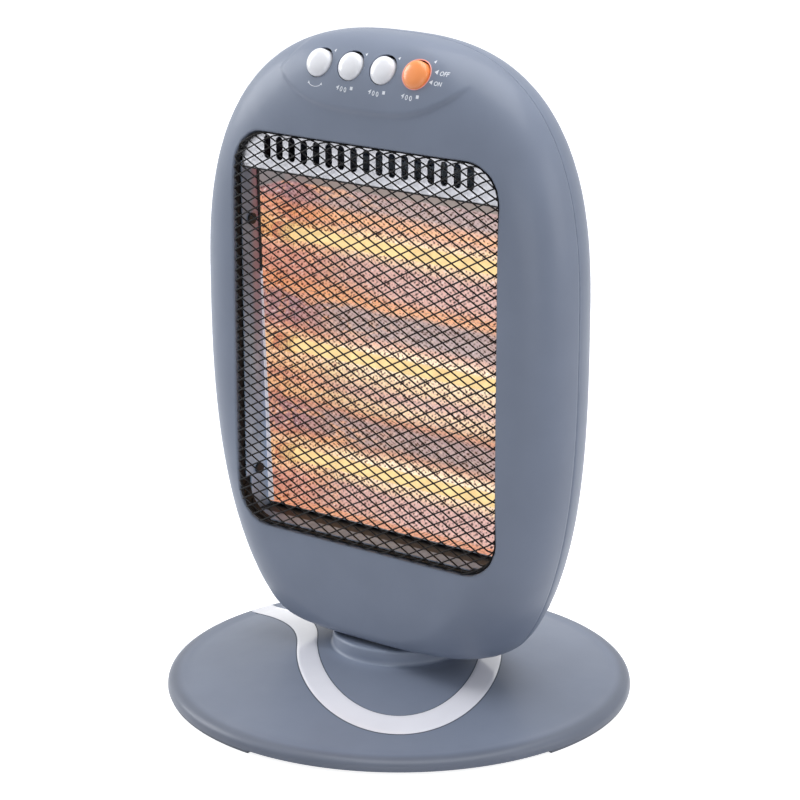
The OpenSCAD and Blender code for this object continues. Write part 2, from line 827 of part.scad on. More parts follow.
module guard_frame() {
    color("black") upright(-guard_y, -guard_y + guard_depth) difference() {
        opening_shape(-guard_gap);
        opening_shape(-guard_gap - guard_band);
    }
}

// Heating unit

module vent_slot() {
    square([slot_w, slot_h - slot_w], center = true);
    for (s = [-1, 1]) translate([0, s * (slot_h - slot_w) / 2]) circle(r = slot_w / 2, $fn = 24);
}

// Slotted strip behind the top of the guard, with a shelf that runs back to the reflector
module vent_panel() {
    color("silver") {
        upright(-vent_y, -vent_y + sheet) difference() {
            intersection() {
                translate([-panel_half, vent_low]) square([2 * panel_half, open_high - vent_low]);
                opening_shape(-guard_gap - guard_band - guard_gap);
            }
            for (i = [-(slot_count - 1) / 2:(slot_count - 1) / 2])
                translate([i * slot_pitch, slot_mid]) vent_slot();
        }
        translate([-panel_half, -vent_y, vent_low])
            cube([2 * panel_half, vent_y - reflector_front - guard_gap, sheet]);
    }
}

// Steel wall beside the reflector, notched at its foot around the opening's corner
module side_wall(s) {
    wall_low = box_low + sheet + 0.3;
    color("silver") difference() {
        union() {
            translate([s > 0 ? box_half - sheet : -box_half, -wall_front, wall_low])
                cube([sheet, wall_front + wall_back, wall_top - wall_low]);
            translate([s > 0 ? box_half - sheet : -box_half - flange_w + sheet, wall_back - 0.1,
                flange_z[0]]) cube([flange_w, sheet + 0.1, flange_z[1] - flange_z[0]]);
        }
        for (z = lamp_heights) translate([0, 0, z])
            rod_x(s * box_half - 9, s * box_half + 9, end_cap_r + 0.4);
        for (p = side_screw_places) translate([0, p[0], p[1]])
            rod_x(s * box_half - 9, s * box_half + 9, screw_r + 0.1);
        for (z = shield_screw_z) translate([s * shield_screw_x, 0, z]) rod_y(10, 50, screw_r + 0.1);
        translate([s * box_half - 9, -face_y, open_low])
            cube([18, face_y - guard_back, corner_reach]);
    }
}

module left_side_wall() side_wall(-1);
module right_side_wall() side_wall(1);

module side_wall_screws() {
    inner = box_half - sheet;
    color("black") for (s = [-1, 1], p = side_screw_places) translate([0, p[0], p[1]])
        mirror([s > 0 ? 0 : 1, 0, 0]) {
            rod_x(inner - side_screw_head_t, inner, side_screw_head_r);
            rod_x(inner - 0.5, box_half + side_screw_in, screw_r);
        }
}

// Tray along the bottom of the opening, which closes the unit below the reflector
module floor_plate() {
    corner_half = open_w / 2 - corner_reach + 6;
    color("silver") translate([0, 0, box_low]) linear_extrude(sheet) {
        translate([-corner_half, -wall_front]) square([2 * corner_half, wall_front]);
        translate([-box_half, -guard_back]) square([2 * box_half, guard_back + wall_back]);
    }
}

function trough(z) = let (half = asin(lamp_pitch / 2 / trough_r))
    [for (a = [half:-half / 4:-half + 0.01])
        [reflector_back - trough_r * (1 - cos(a)), z + trough_r * sin(a)]];

// The space in front of the reflector, as a closed shape in Y and Z
module reflector_space() {
    cusp = reflector_back - trough_r * (1 - cos(asin(lamp_pitch / 2 / trough_r)));
    polygon(concat(
        [[-reflector_front - 10, vent_low - 3], [-reflector_front, vent_low - 3]],
        [for (z = lamp_heights) each trough(z)],
        [[cusp, lamp_heights[2] - lamp_pitch / 2 + 4], [-reflector_front, box_low + 3.6],
            [-reflector_front - 10, box_low + 3.6]]));
}

module reflector() {
    color("silver") rotate([90, 0, 90]) translate([0, 0, -panel_half]) linear_extrude(2 * panel_half)
        difference() {
            offset(delta = sheet) reflector_space();
            reflector_space();
            translate([-reflector_front - 30, 0]) square([30, total_h]);
        }
}

// Back plate on the side walls' flanges, narrowed at its ends where the head tapers
module heat_shield() {
    half = box_half + flange_w;
    color("lightgray") upright(shield_y, shield_y + sheet) difference() {
        polygon(mirrored([[box_half, box_low], [box_half, flange_z[0] - flange_slope], [half, flange_z[0]],
            [half, flange_z[1]], [box_half, flange_z[1] + flange_slope / 2], [box_half, wall_top]]));
        for (x = [-1, 1], z = shield_screw_z) translate([x * shield_screw_x, z])
            circle(r = screw_r + 0.1, $fn = screw_sides);
    }
}

module shield_screws() {
    back = shield_y + sheet;
    color("silver") for (x = [-1, 1], z = shield_screw_z) translate([x * shield_screw_x, 0, z]) {
        rod_y(wall_back - 4, back + 0.5, screw_r);
        rod_y(back, back + 1.8, screw_head_r);
    }
}

module lamp_tube(k) {
    color("gold") translate([0, 0, lamp_heights[k]]) difference() {
        rod_x(-lamp_half, lamp_half, lamp_r);
        rod_x(-lamp_half - 1, lamp_half + 1, lamp_r - 1);
    }
}

module filament(k) {
    color("orange") translate([0, 0, lamp_heights[k]]) rod_x(-lamp_half, lamp_half, 1.4);
}

module upper_lamp_tube() lamp_tube(0);
module middle_lamp_tube() lamp_tube(1);
module lower_lamp_tube() lamp_tube(2);
module upper_filament() filament(0);
module middle_filament() filament(1);
module lower_filament() filament(2);

module lamp_end_caps() {
    color("white") for (z = lamp_heights, s = [-1, 1]) translate([0, 0, z])
        rod_x(s > 0 ? lamp_half : -end_cap_out, s > 0 ? end_cap_out : -lamp_half, end_cap_r);
}

module lamp_holders() {
    color("lightgray") for (z = lamp_heights, s = [-1, 1]) translate([0, 0, z]) difference() {
        translate([s > 0 ? box_half : -box_half - holder_t, -holder_w / 2, -holder_w / 2])
            cube([holder_t, holder_w, holder_w]);
        rod_x(s * box_half - 15, s * box_half + 15, end_cap_r + 0.05);
    }
}

// Switches

// Domed cap in one piece with its cup and the two pins that it rocks on
module rocker(i) {
    cap_low = -switch_cavity + 1.5;
    at_switch(i) translate([0, 0, -pivot_depth]) rotate([rest_tilts[i], 0, 0]) {
        translate([0, 0, pivot_depth]) rotate_extrude($fn = 96) polygon(concat(
            [[0, cap_low], [cap_r, cap_low]],
            [for (a = [0:10:80]) [cap_r * cos(a), dome_rise * sin(a)]], [[0, dome_rise]]));
        rod_x(-cap_r - pivot_out, cap_r + pivot_out, pivot_r);
    }
}

module swing_rocker() color("white") rocker(0);
module first_tube_rocker() color("white") rocker(1);
module second_tube_rocker() color("white") rocker(2);
module power_rocker() color("darkorange") rocker(3);

// Cups that the rockers rock in; the pins snap in through slots in the cups' rims
module switch_bodies() {
    color("black") for (i = [0:3]) at_switch(i) difference() {
        translate([0, 0, -switch_depth])
            cylinder(r = cap_r + cap_gap + switch_wall, h = switch_depth - switch_top, $fn = 64);
        translate([0, 0, -switch_cavity - 1]) cylinder(r = cap_r + cap_gap, h = 30, $fn = 64);
        translate([0, 0, -pivot_depth])
            rod_x(-cap_r - pivot_out - clear, cap_r + pivot_out + clear, pivot_r + hub_gap);
        translate([-cap_r - pivot_out - clear, -pivot_r - hub_gap, -pivot_depth])
            cube([2 * (cap_r + pivot_out + clear), 2 * (pivot_r + hub_gap), pivot_depth]);
    }
}

module switch_terminals() {
    color("gold") for (i = [0:3], s = [-1, 1]) at_switch(i)
        translate([-2.4, s * 5 - 0.4, -switch_depth - terminal_h]) cube([4.8, 0.8, terminal_h]);
}

// Inside the back

module thermal_cutout() {
    color("black") translate([0, 0, cutout_z])
        rod_y(shield_y + sheet, shield_y + sheet + 6, cutout_r);
}

module terminal_block() {
    color("white") translate([-block_size[0] / 2, shield_y + sheet, block_z]) cube(block_size);
}

module head_wires() {
    block_top = block_z + block_size[2];
    color("white") {
        wire([[0, 0, spigot_low - 5.7], [0, 0, block_z - 50], [0, wire_y, block_z - 28],
            [0, wire_y, block_z]], mains_r);
        wire([[12, wire_y, block_top], [12, wire_y, switch_z - 60], [12, 6, switch_z - 25]], 1.6);
        wire([[-12, wire_y, block_top], [-12, wire_y, cutout_z - 14], [-8, wire_y, cutout_z - 8]], 1.2);
    }
}

base_cover();
base_plate();
base_feet();
base_screws();
base_strip();
cord_inlet();
tip_plunger();
tip_spring();
tip_switch();
base_wires();
bearing_washer();
swing_motor();
motor_screws();
motor_shaft();
crank_link();
swivel_hub();
hub_clip();
swing_lug();
hub_screws();
front_shell();
rear_shell();
shell_screws();
guard_net();
guard_frame();
vent_panel();
left_side_wall();
right_side_wall();
side_wall_screws();
floor_plate();
reflector();
heat_shield();
shield_screws();
upper_lamp_tube();
middle_lamp_tube();
lower_lamp_tube();
upper_filament();
middle_filament();
lower_filament();
lamp_end_caps();
lamp_holders();
swing_rocker();
first_tube_rocker();
second_tube_rocker();
power_rocker();
switch_bodies();
switch_terminals();
thermal_cutout();
terminal_block();
head_wires();
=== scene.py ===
"""Looks of the halogen heater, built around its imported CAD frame.

Shapes are worked out in millimetres in the frame's own directions (+Z up, the head
facing -Y at rest) and become metres when a piece is finished.
"""

import logging
import math
from dataclasses import dataclass, field
from enum import Enum
from itertools import accumulate
from typing import Callable, Sequence

import bmesh
import bpy
from mathutils import Matrix, Vector
from mathutils.bvhtree import BVHTree


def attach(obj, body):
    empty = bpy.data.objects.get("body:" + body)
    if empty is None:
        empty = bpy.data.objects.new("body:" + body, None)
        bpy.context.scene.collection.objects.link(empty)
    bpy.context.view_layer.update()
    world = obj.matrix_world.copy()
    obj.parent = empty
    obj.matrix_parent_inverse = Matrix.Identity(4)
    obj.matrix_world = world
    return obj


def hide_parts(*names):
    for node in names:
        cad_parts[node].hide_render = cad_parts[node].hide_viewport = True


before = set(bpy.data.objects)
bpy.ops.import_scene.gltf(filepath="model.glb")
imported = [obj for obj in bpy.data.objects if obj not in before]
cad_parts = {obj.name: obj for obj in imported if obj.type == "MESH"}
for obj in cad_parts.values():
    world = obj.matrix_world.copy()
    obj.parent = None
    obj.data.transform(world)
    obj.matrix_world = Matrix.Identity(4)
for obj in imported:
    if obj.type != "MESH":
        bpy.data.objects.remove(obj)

LOG = logging.getLogger("heater")
MM = 0.001
QUARTER = math.pi / 2
# Angles past which an edge stays sharp: on most pieces, on wires and on dimpled sheet
SHARP, WIRE_SHARP, SHEET_SHARP = (math.radians(a) for a in (38, 60, 80))
# Stands what is drawn in X and Y up in X and Z
UPRIGHT = Matrix.Rotation(QUARTER, 4, "X")
FORWARD, BACK, UP = Vector((0, -1, 0)), Vector((0, 1, 0)), Vector((0, 0, 1))
# Width and height of the reflector's dimples, and how even and brushed grain are stretched
DIMPLE_W, DIMPLE_H = 4.4, 3.7
EVEN, BRUSHED = (1, 1, 1), (1, 1, 0.05)
Colour = tuple[float, float, float, float]
Triple = tuple[float, float, float]
Edges = list[bmesh.types.BMEdge]


def linear(red: int, green: int, blue: int) -> Colour:
    """Turns 0-255 display values into the linear colour that a shader takes."""
    parts = [c / 255 for c in (red, green, blue)]
    return (*(c / 12.92 if c < 0.04 else ((c + 0.055) / 1.055) ** 2.4 for c in parts), 1.0)


def scaled(colour: Colour, factor: float, lift: float = 0.0) -> Colour:
    """Gives a colour multiplied by a factor and raised by a lift, at most white."""
    return (*(min(c * factor + lift, 1.0) for c in colour[:3]), 1.0)


def ease(value: float, low: float, high: float) -> float:
    """Gives 0 below low, 1 above high and a smooth rise between them."""
    t = min(max((value - low) / (high - low), 0.0), 1.0)
    return t * t * (3 - 2 * t)


def signed_power(value: float, power: float) -> float:
    """Raises the size of a number to a power and keeps its sign."""
    return math.copysign(abs(value) ** power, value)


def polar(radius: float, angle: float) -> tuple[float, float]:
    """Gives the place at a radius and an angle in radians."""
    return radius * math.cos(angle), radius * math.sin(angle)


def steps(low: float, high: float, count: int) -> list[float]:
    """Gives count + 1 evenly spaced values from low to high."""
    return [low + (high - low) * i / count for i in range(count + 1)]


def spaced(lengths: Sequence[float], count: int) -> list[tuple[int, float]]:
    """Cuts a run of steps into equal parts.

    Args:
        lengths: The steps' lengths.
        count: The number of parts.

    Returns:
        For each cut, with both ends, its step and its share of that step.
    """
    run = list(accumulate(lengths, initial=0.0))
    found, j = [], 0
    for i in range(count + 1):
        goal = run[-1] * i / count
        while j < len(lengths) - 1 and run[j + 1] < goal:
            j += 1
        found.append((j, min((goal - run[j]) / max(run[j + 1] - run[j], 1e-9), 1.0)))
    return found


# Shader graph


def math_method(operation: str, reflected: bool = False) -> Callable[..., "Sock"]:
    """Makes a method of Sock that adds one Math node.

    Args:
        operation: The node's operation.
        reflected: Whether the socket is the second operand.

    Returns:
        The method.
    """

    def method(self: "Sock", other: "Sock | float" = 0.0) -> "Sock":
        """Adds the node, with the other operand where there is one."""
        operands = dict(enumerate((other, self) if reflected else (self, other)))
        return self.graph.node("ShaderNodeMath", {"operation": operation}, operands)

    return method


class Sock:
    """An output socket that adds Math nodes when it is used in an expression."""

    __add__, __radd__ = math_method("ADD"), math_method("ADD", True)
    __sub__, __rsub__ = math_method("SUBTRACT"), math_method("SUBTRACT", True)
    __mul__, __rmul__ = math_method("MULTIPLY"), math_method("MULTIPLY", True)
    __truediv__ = math_method("DIVIDE")
    greatest = math_method("MAXIMUM")
    size = math_method("ABSOLUTE")
    cosine = math_method("COSINE")

    def __init__(self, graph: "Graph", out: bpy.types.NodeSocket) -> None:
        """Keeps the socket and the graph that it belongs to."""
        self.graph = graph
        self.out = out

    def wave(self, length: float) -> "Sock":
        """Gives a cosine wave of a length in the value's own unit."""
        return (self * (math.tau / length)).cosine()

    def times(self, other: "Sock") -> "Sock":
        """Multiplies one colour by another."""
        return self.graph.mix(1.0, self, other, "MULTIPLY")

    def ease(self, low: float, high: float) -> "Sock":
        """Rises smoothly from 0 at low to 1 at high."""
        inputs = {"Value": self, "From Min": low, "From Max": high}
        return self.graph.node("ShaderNodeMapRange", {"interpolation_type": "SMOOTHSTEP"}, inputs)


class Graph:
    """The node tree of a material or of the world, built node by node through one method."""

    def __init__(self, owner: bpy.types.Material | bpy.types.World) -> None:
        """Empties the owner's tree.

        Args:
            owner: The material or world.
        """
        owner.use_nodes = True
        self.owner = owner
        self.tree = owner.node_tree
        self.tree.nodes.clear()

    @staticmethod
    def _socket(sockets: Sequence[bpy.types.NodeSocket], key: int | str) -> bpy.types.NodeSocket:
        """Finds a socket.

        Args:
            sockets: A node's inputs or outputs.
            key: The socket's number, identifier or name.

        Returns:
            The socket.
        """
        if isinstance(key, int):
            return sockets[key]
        exact = [s for s in sockets if s.identifier == key]
        return (exact or [s for s in sockets if s.name == key])[0]

    def node(
        self,
        kind: str,
        settings: dict | None = None,
        inputs: dict | None = None,
        out: int | str = 0,
    ) -> Sock | None:
        """Adds a node.

        Args:
            kind: The node's type.
            settings: Its properties, set first; "stops" holds a ramp's (place, colour) pairs.
            inputs: Values or sockets for its inputs.
            out: The output to hand back.

        Returns:
            The chosen output, or None where the node has none.
        """
        made = self.tree.nodes.new(kind)
        for key, value in (settings or {}).items():
            if key == "stops":
                ramp = made.color_ramp.elements
                for _ in range(len(value) - len(ramp)):
                    ramp.new(0.5)
                for element, (position, colour) in zip(ramp, value):
                    element.position, element.color = position, colour
            else:
                setattr(made, key, value)
        for key, value in (inputs or {}).items():
            socket = self._socket(made.inputs, key)
            if isinstance(value, Sock):
                self.tree.links.new(value.out, socket)
            else:
                socket.default_value = value
        return Sock(self, self._socket(made.outputs, out)) if len(made.outputs) else None

    def place(self, stretch: Triple = EVEN) -> Sock:
        """Gives the place on the piece.

        Args:
            stretch: Its scale along each axis.

        Returns:
            The place.
        """
        at = self.node("ShaderNodeTexCoord", out="Object")
        inputs = {"Vector": at, "Scale": stretch}
        return at if stretch == EVEN else self.node("ShaderNodeMapping", None, inputs)

    def axis(self, name: str) -> Sock:
        """Gives one coordinate of the place, in millimetres."""
        return self.node("ShaderNodeSeparateXYZ", None, {0: self.place()}, name) * (1 / MM)

    def noise(
        self, size: float, detail: float = 3.0, stretch: Triple = EVEN, warp: float = 0.0
    ) -> Sock:
        """Adds a soft random pattern.

        Args:
            size: Size of its spots in millimetres.
            detail: Number of finer layers.
            stretch: Scale along each axis.
            warp: How far the pattern is distorted.

        Returns:
            The pattern's value, about 0.5 in the middle.
        """
        inputs = {"Vector": self.place(stretch), "Scale": 1 / (size * MM)}
        inputs |= {"Detail": detail, "Distortion": warp}
        return self.node("ShaderNodeTexNoise", None, inputs)

    def cells(self, size: float) -> Sock:
        """Adds a pattern of cells of a size in millimetres and gives the distance in them."""
        inputs = {"Vector": self.place(), "Scale": 1 / (size * MM)}
        return self.node("ShaderNodeTexVoronoi", {"feature": "F1"}, inputs, "Distance")

    def mix(
        self,
        factor: Sock | float,
        first: Sock | Colour,
        second: Sock | Colour,
        blend: str = "MIX",
    ) -> Sock:
        """Blends two colours.

        Args:
            factor: The share of the second.
            first: The first colour.
            second: The second colour.
            blend: How they are blended.

        Returns:
            The blend.
        """
        inputs = {"Factor_Float": factor, "A_Color": first, "B_Color": second}
        settings = {"data_type": "RGBA", "blend_type": blend}
        return self.node("ShaderNodeMix", settings, inputs, "Result_Color")

    def ramp(self, value: Sock, stops: Sequence[tuple[float, Colour]]) -> Sock:
        """Turns a value into a colour by a ramp."""
        return self.node("ShaderNodeValToRGB", {"stops": stops}, {"Fac": value}, "Color")

    def bump(self, height: Sock, strength: float, depth: float) -> Sock:
        """Turns a height into a normal; depth is in millimetres."""
        inputs = {"Height": height, "Strength": strength, "Distance": depth * MM}
        return self.node("ShaderNodeBump", None, inputs)

    def edges(self) -> Sock:
        """Gives 1 on outer edges, which are lightened for wear and as a painted highlight, and 0 on
        flats.
        """
        point = self.node("ShaderNodeNewGeometry", None, None, "Pointiness")
        return point.ease(0.515, 0.6)

    def surface(
        self, colour: Sock, rough: Sock | float, normal: Sock, more: dict
    ) -> bpy.types.Material:
        """Adds the main shader.

        Args:
            colour: Its base colour.
            rough: Its roughness.
            normal: Its normal.
            more: Its other inputs.

        Returns:
            The finished material.
        """
        inputs = {"Base Color": colour, "Roughness": rough, "Normal": normal} | more
        shader = self.node("ShaderNodeBsdfPrincipled", None, inputs)
        self.node("ShaderNodeOutputMaterial", None, {"Surface": shader})
        return self.owner


# Finishes

WHITE, BLACK = (1.0, 1.0, 1.0, 1.0), (0.0, 0.0, 0.0, 1.0)
# Tones of the tubes' glow, painted on the reflector and the ceramic ends as reflected light
CREAM = linear(255, 228, 172)
YELLOW = linear(248, 208, 136)
AMBER = linear(240, 166, 104)
SALMON = linear(208, 148, 122)
LILAC = linear(142, 128, 146)


@dataclass(frozen=True)
class Finish:
    """A surface finish, made into a material once."""

    name: str
    colour: Colour

    def material(self) -> bpy.types.Material:
        """Gives the finish's material."""
        name, known = "look_" + self.name, bpy.data.materials
        return known.get(name) or self.paint(Graph(known.new(name)))

    def paint(self, graph: Graph) -> bpy.types.Material:
        """Builds the material in an empty graph and gives it."""
        raise NotImplementedError


@dataclass(frozen=True)
class Moulded(Finish):
    """Moulded plastic, rubber, ceramic or paint, with grain, mottle and outer edges lightened for
    wear and as a painted highlight.
    """

    rough: float = 0.45
    grain: float = 0.35
    grain_depth: float = 0.12
    mottle: float = 0.05
    wear_and_highlight: float = 0.1
    coat: float = 0.0
    gloss: float = 0.5

    def shade(self, graph: Graph, body: Sock) -> Sock:
        """Gives the body's colour as it is; kinds of plastic with painted shade or light change it.
        """
        return body

    def paint(self, graph: Graph) -> bpy.types.Material:
        """Builds the material.

        Args:
            graph: Its empty graph.

        Returns:
            The material.
        """
        dark, light = (scaled(self.colour, 1 + s * self.mottle) for s in (-1, 1))
        body = self.shade(graph, graph.mix(graph.noise(38, 4).ease(0.3, 0.7), dark, light))
        # Outer edges are lightened: rubbed wear, and on the shell a painted highlight along the
        # seam
        rub_and_highlight = graph.edges() * graph.noise(6, 3).ease(0.35, 0.65) * self.wear_and_highlight
        smear = graph.noise(22, 3, (1, 1, 0.35))
        return graph.surface(
            graph.mix(rub_and_highlight, body, scaled(self.colour, 1.25, 0.03)),
            self.rough - 0.05 + smear * 0.1,
            graph.bump(graph.noise(self.grain, 2), self.grain_depth, 0.08),
            {
                "Specular IOR Level": self.gloss,
                "Coat Weight": self.coat,
                "Coat Roughness": 0.12,
                "IOR": 1.5,
                "Coat IOR": 1.5 + 0.25 * self.coat,
            },
        )


@dataclass(frozen=True)
class RimShaded(Moulded):
    """The base's plastic, with painted shade round the rim and painted light on the neck."""

    rim: tuple[float, float] = (158.0, 165.5)
    neck: tuple[float, float] = (60.0, 48.0)

    def shade(self, graph: Graph, body: Sock) -> Sock:
        """Paints shade on the rim and light on the neck.

        Args:
            graph: The material's graph.
            body: The body's colour.

        Returns:
            The shaded colour.
        """
        x, y = graph.axis("X"), graph.axis("Y")
        at_rim, at_neck = ((x * x + y * y).ease(a**2, b**2) for a, b in (self.rim, self.neck))
        # Painted shade darkens the rim; painted light lifts the neck, which the head shades
        body = body.times(graph.mix(at_rim, WHITE, linear(212, 212, 213)))
        return graph.mix(at_neck * 0.3, body, linear(150, 162, 184))


@dataclass(frozen=True)
class Sheet(Finish):
    """Bare metal: sheet, screws, springs or brass, with spangle, fine lines and stains."""

    rough: float = 0.32
    spangle: float = 7.0
    spangle_depth: float = 0.16
    lines: Triple = BRUSHED

    def paint(self, graph: Graph) -> bpy.types.Material:
        """Builds the material.

        Args:
            graph: Its empty graph.

        Returns:
            The material.
        """
        crystal = graph.cells(self.spangle)
        stain = graph.noise(30, 4).ease(0.45, 0.75)
        tarnish = crystal * self.spangle_depth * 3 + stain * 0.25
        return graph.surface(
            graph.mix(tarnish, self.colour, scaled(self.colour, 0.72)),
            self.rough + (crystal - 0.4) * 0.2 + stain * 0.08,
            graph.bump(graph.noise(0.9, 4, self.lines), 0.1, 0.1),
            {"Metallic": 1.0},
        )


@dataclass(frozen=True)
class GlowPaintedMirror(Finish):
    """Dimpled bright sheet with the tubes' glow painted on as reflected light in level bands, and
    painted shade and glints in its dimples.
    """

    ends: float = 0.4
    rake: float = 0.0
    trough: float = 20.0
    low: float = 108.0
    high: float = 376.0
    flat_from: float = 360.5

    # Heights and colours of the painted reflection of the tubes' glow
    BANDS = (
        *((110, AMBER), (124, SALMON), (134, SALMON), (140, YELLOW), (147, CREAM)),
        *((158, CREAM), (164, SALMON), (171, LILAC), (188, LILAC), (196, SALMON)),
        *((204, YELLOW), (211, SALMON), (219, YELLOW), (229, CREAM), (241, CREAM)),
        *((247, SALMON), (253, LILAC), (272, LILAC), (278, AMBER), (285, AMBER)),
        *((291, SALMON), (306, SALMON), (313, YELLOW), (326, YELLOW), (331, SALMON)),
        *((335, AMBER), (341, SALMON), (346, LILAC), (366, LILAC)),
    )

    def _reflected_glow(self, graph: Graph, across: Sock, depth: Sock, height: Sock) -> Sock:
        """Gives the tubes' glow painted as reflected light in bands, redder at the ends and with
        amber patches at the left.

        Args:
            graph: The material's graph.
            across: The place's X.
            depth: The place's Y.
            height: The place's Z.

        Returns:
            The light's colour.
        """
        drift = (graph.noise(34, 2, (0.5, 1, 1)) - 0.5) * 11.0
        level = height - (self.trough - depth) * self.rake + drift
        span = self.high - self.low
        stops = [((z - self.low) / span, tone) for z, tone in self.BANDS]
        glow = graph.ramp((level - self.low) / span, stops)
        patch = (graph.noise(26, 3) - 0.5) * 70.0
        end = (across.size() * -1.0 + patch).ease(-62.0, -100.0)
        glow = graph.mix(end * self.ends, glow, linear(206, 122, 92))
        fleck = graph.noise(11, 2, (0.45, 1, 1), 1.2).ease(0.54, 0.64) * across.ease(10.0, -70.0)
        return graph.mix(fleck * 0.55, glow, linear(244, 178, 118))

    def paint(self, graph: Graph) -> bpy.types.Material:
        """Builds the material.

        Args:
            graph: Its empty graph.

        Returns:
            The material.
        """
        across, depth, height = (graph.axis(k) for k in "XYZ")
        glow = self._reflected_glow(graph, across, depth, height)
        shift = (graph.noise(13, 2) - 0.5) * 8.0
        wave = (across + shift).wave(DIMPLE_W) * (height + shift * 0.6).wave(DIMPLE_H)
        rough = wave * 0.75 + (graph.noise(2.4, 3) - 0.5) * 4.2
        flat = height.ease(self.flat_from - 1.0, self.flat_from + 1.0)
        clear = rough.ease(-1.0, 0.0).greatest(flat)
        speck = graph.noise(1.1, 2).ease(0.3, 0.62)
        # Painted shade over the painted glow: dark dots in the dimples and fine specks
        shade = graph.mix(clear, linear(88, 54, 48), WHITE)
        shade = graph.mix(speck, linear(206, 186, 178), WHITE).times(shade)
        # Painted glints on the dimples' crests
        painted_glint = rough.ease(0.75, 1.3) * (1.0 - flat)
        lit = graph.mix(painted_glint * 0.6, glow.times(shade), linear(250, 236, 228))
        # Base colour darkened in the dimples as painted shade; the plain top band is grey with a
        # dim painted light
        body = graph.mix(clear, (0.1, 0.08, 0.08, 1.0), self.colour)
        return graph.surface(
            graph.mix(flat, body, (0.2, 0.2, 0.21, 1.0)),
            0.34 - painted_glint * 0.1 + flat * 0.1,
            graph.bump(rough, 0.12, 0.3),
            {
                "Metallic": 1.0,
                "Emission Color": graph.mix(flat, lit, linear(124, 120, 122)),
                "Emission Strength": 0.87,
            },
        )


@dataclass(frozen=True)
class LitWall(Finish):
    """Grey sheet beside the reflector: its glow painted on as grey and red light, and painted
    shade.
    """

    red_from: float = -29.0
    dark_from: float = -12.0
    red: float = 1.0
    shade_low: float = 112.0
    shade_high: float = 150.0

    def paint(self, graph: Graph) -> bpy.types.Material:
        """Builds the material.

        Args:
            graph: Its empty graph.

        Returns:
            The material.
        """
        depth, height = graph.axis("Y"), graph.axis("Z")
        # Black painted shade in the gap nearest the reflector
        dark = depth.ease(self.dark_from, self.dark_from + 1.5)
        bare = 1.0 - dark
        # Where the reflector's glow is painted on as light, and where it is painted red
        open_part = height.ease(self.shade_low, self.shade_high) * bare
        painted_red_glow = depth.ease(self.red_from, self.red_from + 5.0) * bare * height.ease(170, 300)
        stain = graph.noise(14, 4).ease(0.35, 0.7)
        # Painted shade: darker, bluer and dimmer upwards
        painted_upper_shade = height.ease(150.0, 340.0) * 0.75
        stained = graph.mix(stain, self.colour, scaled(self.colour, 0.75))
        sheet = graph.mix(painted_upper_shade, stained, linear(104, 109, 120))
        light = graph.mix(painted_upper_shade, linear(82, 94, 110), linear(52, 52, 58))
        light = graph.mix(open_part, BLACK, light)
        return graph.surface(
            graph.mix(dark, sheet, (0.02, 0.02, 0.024, 1.0)),
            0.46 + stain * 0.1,
            graph.bump(graph.noise(0.9, 4, BRUSHED), 0.12, 0.1),
            {
                "Metallic": 0.35,
                "Emission Color": graph.mix(painted_red_glow * self.red, light, linear(112, 56, 54)),
                "Emission Strength": 0.7,
            },
        )


@dataclass(frozen=True)
class GlowPaintedCeramic(Finish):
    """The tubes' ceramic ends with the tubes' glow painted on as light: yellow beside the tubes and
    salmon at the reflector's ends.
    """

    yellow_to: float = 97.0
    salmon_from: float = 111.0

    def paint(self, graph: Graph) -> bpy.types.Material:
        """Builds the material.

        Args:
            graph: Its empty graph.

        Returns:
            The material.
        """
        out = graph.axis("X").size() + (graph.noise(12, 3) - 0.5) * 14.0
        speck = graph.noise(1.6, 2).ease(0.3, 0.6)
        # The tubes' glow, painted on as light
        glow = graph.mix(out.ease(self.yellow_to, self.salmon_from), YELLOW, linear(222, 138, 104))
        return graph.surface(
            graph.mix(speck, linear(90, 70, 62), self.colour),
            0.6 + speck * 0.1,
            graph.bump(speck, 0.2, 0.2),
            {
                "Emission Color": graph.mix(speck, linear(150, 96, 76), glow),
                "Emission Strength": 0.8,
            },
        )


@dataclass(frozen=True)
class Glow(Finish):
    """A glowing part: the coil, the quartz around it or the lit switch; on the reflector's flanges,
    a painted reflection of the tubes' glow.
    """

    light: Colour = (1.0, 0.6, 0.2, 1.0)
    strength: float = 1.0
    rough: float = 0.2
    alpha: float = 1.0

    def paint(self, graph: Graph) -> bpy.types.Material:
        """Builds the material.

        Args:
            graph: Its empty graph.

        Returns:
            The material.
        """
        haze = graph.noise(9, 3)
        dim = scaled(self.light, 0.8)
        return graph.surface(
            graph.mix(haze * 0.4, self.colour, dim),
            self.rough + haze * 0.1,
            graph.bump(graph.noise(1.2, 2), 0.05, 0.05),
            {
                "Alpha": self.alpha,
                "Emission Color": graph.mix(haze.ease(0.35, 0.65), dim, self.light),
                "Emission Strength": self.strength,
                "Coat Weight": 0.4,
                "Coat Roughness": 0.08,
            },
        )


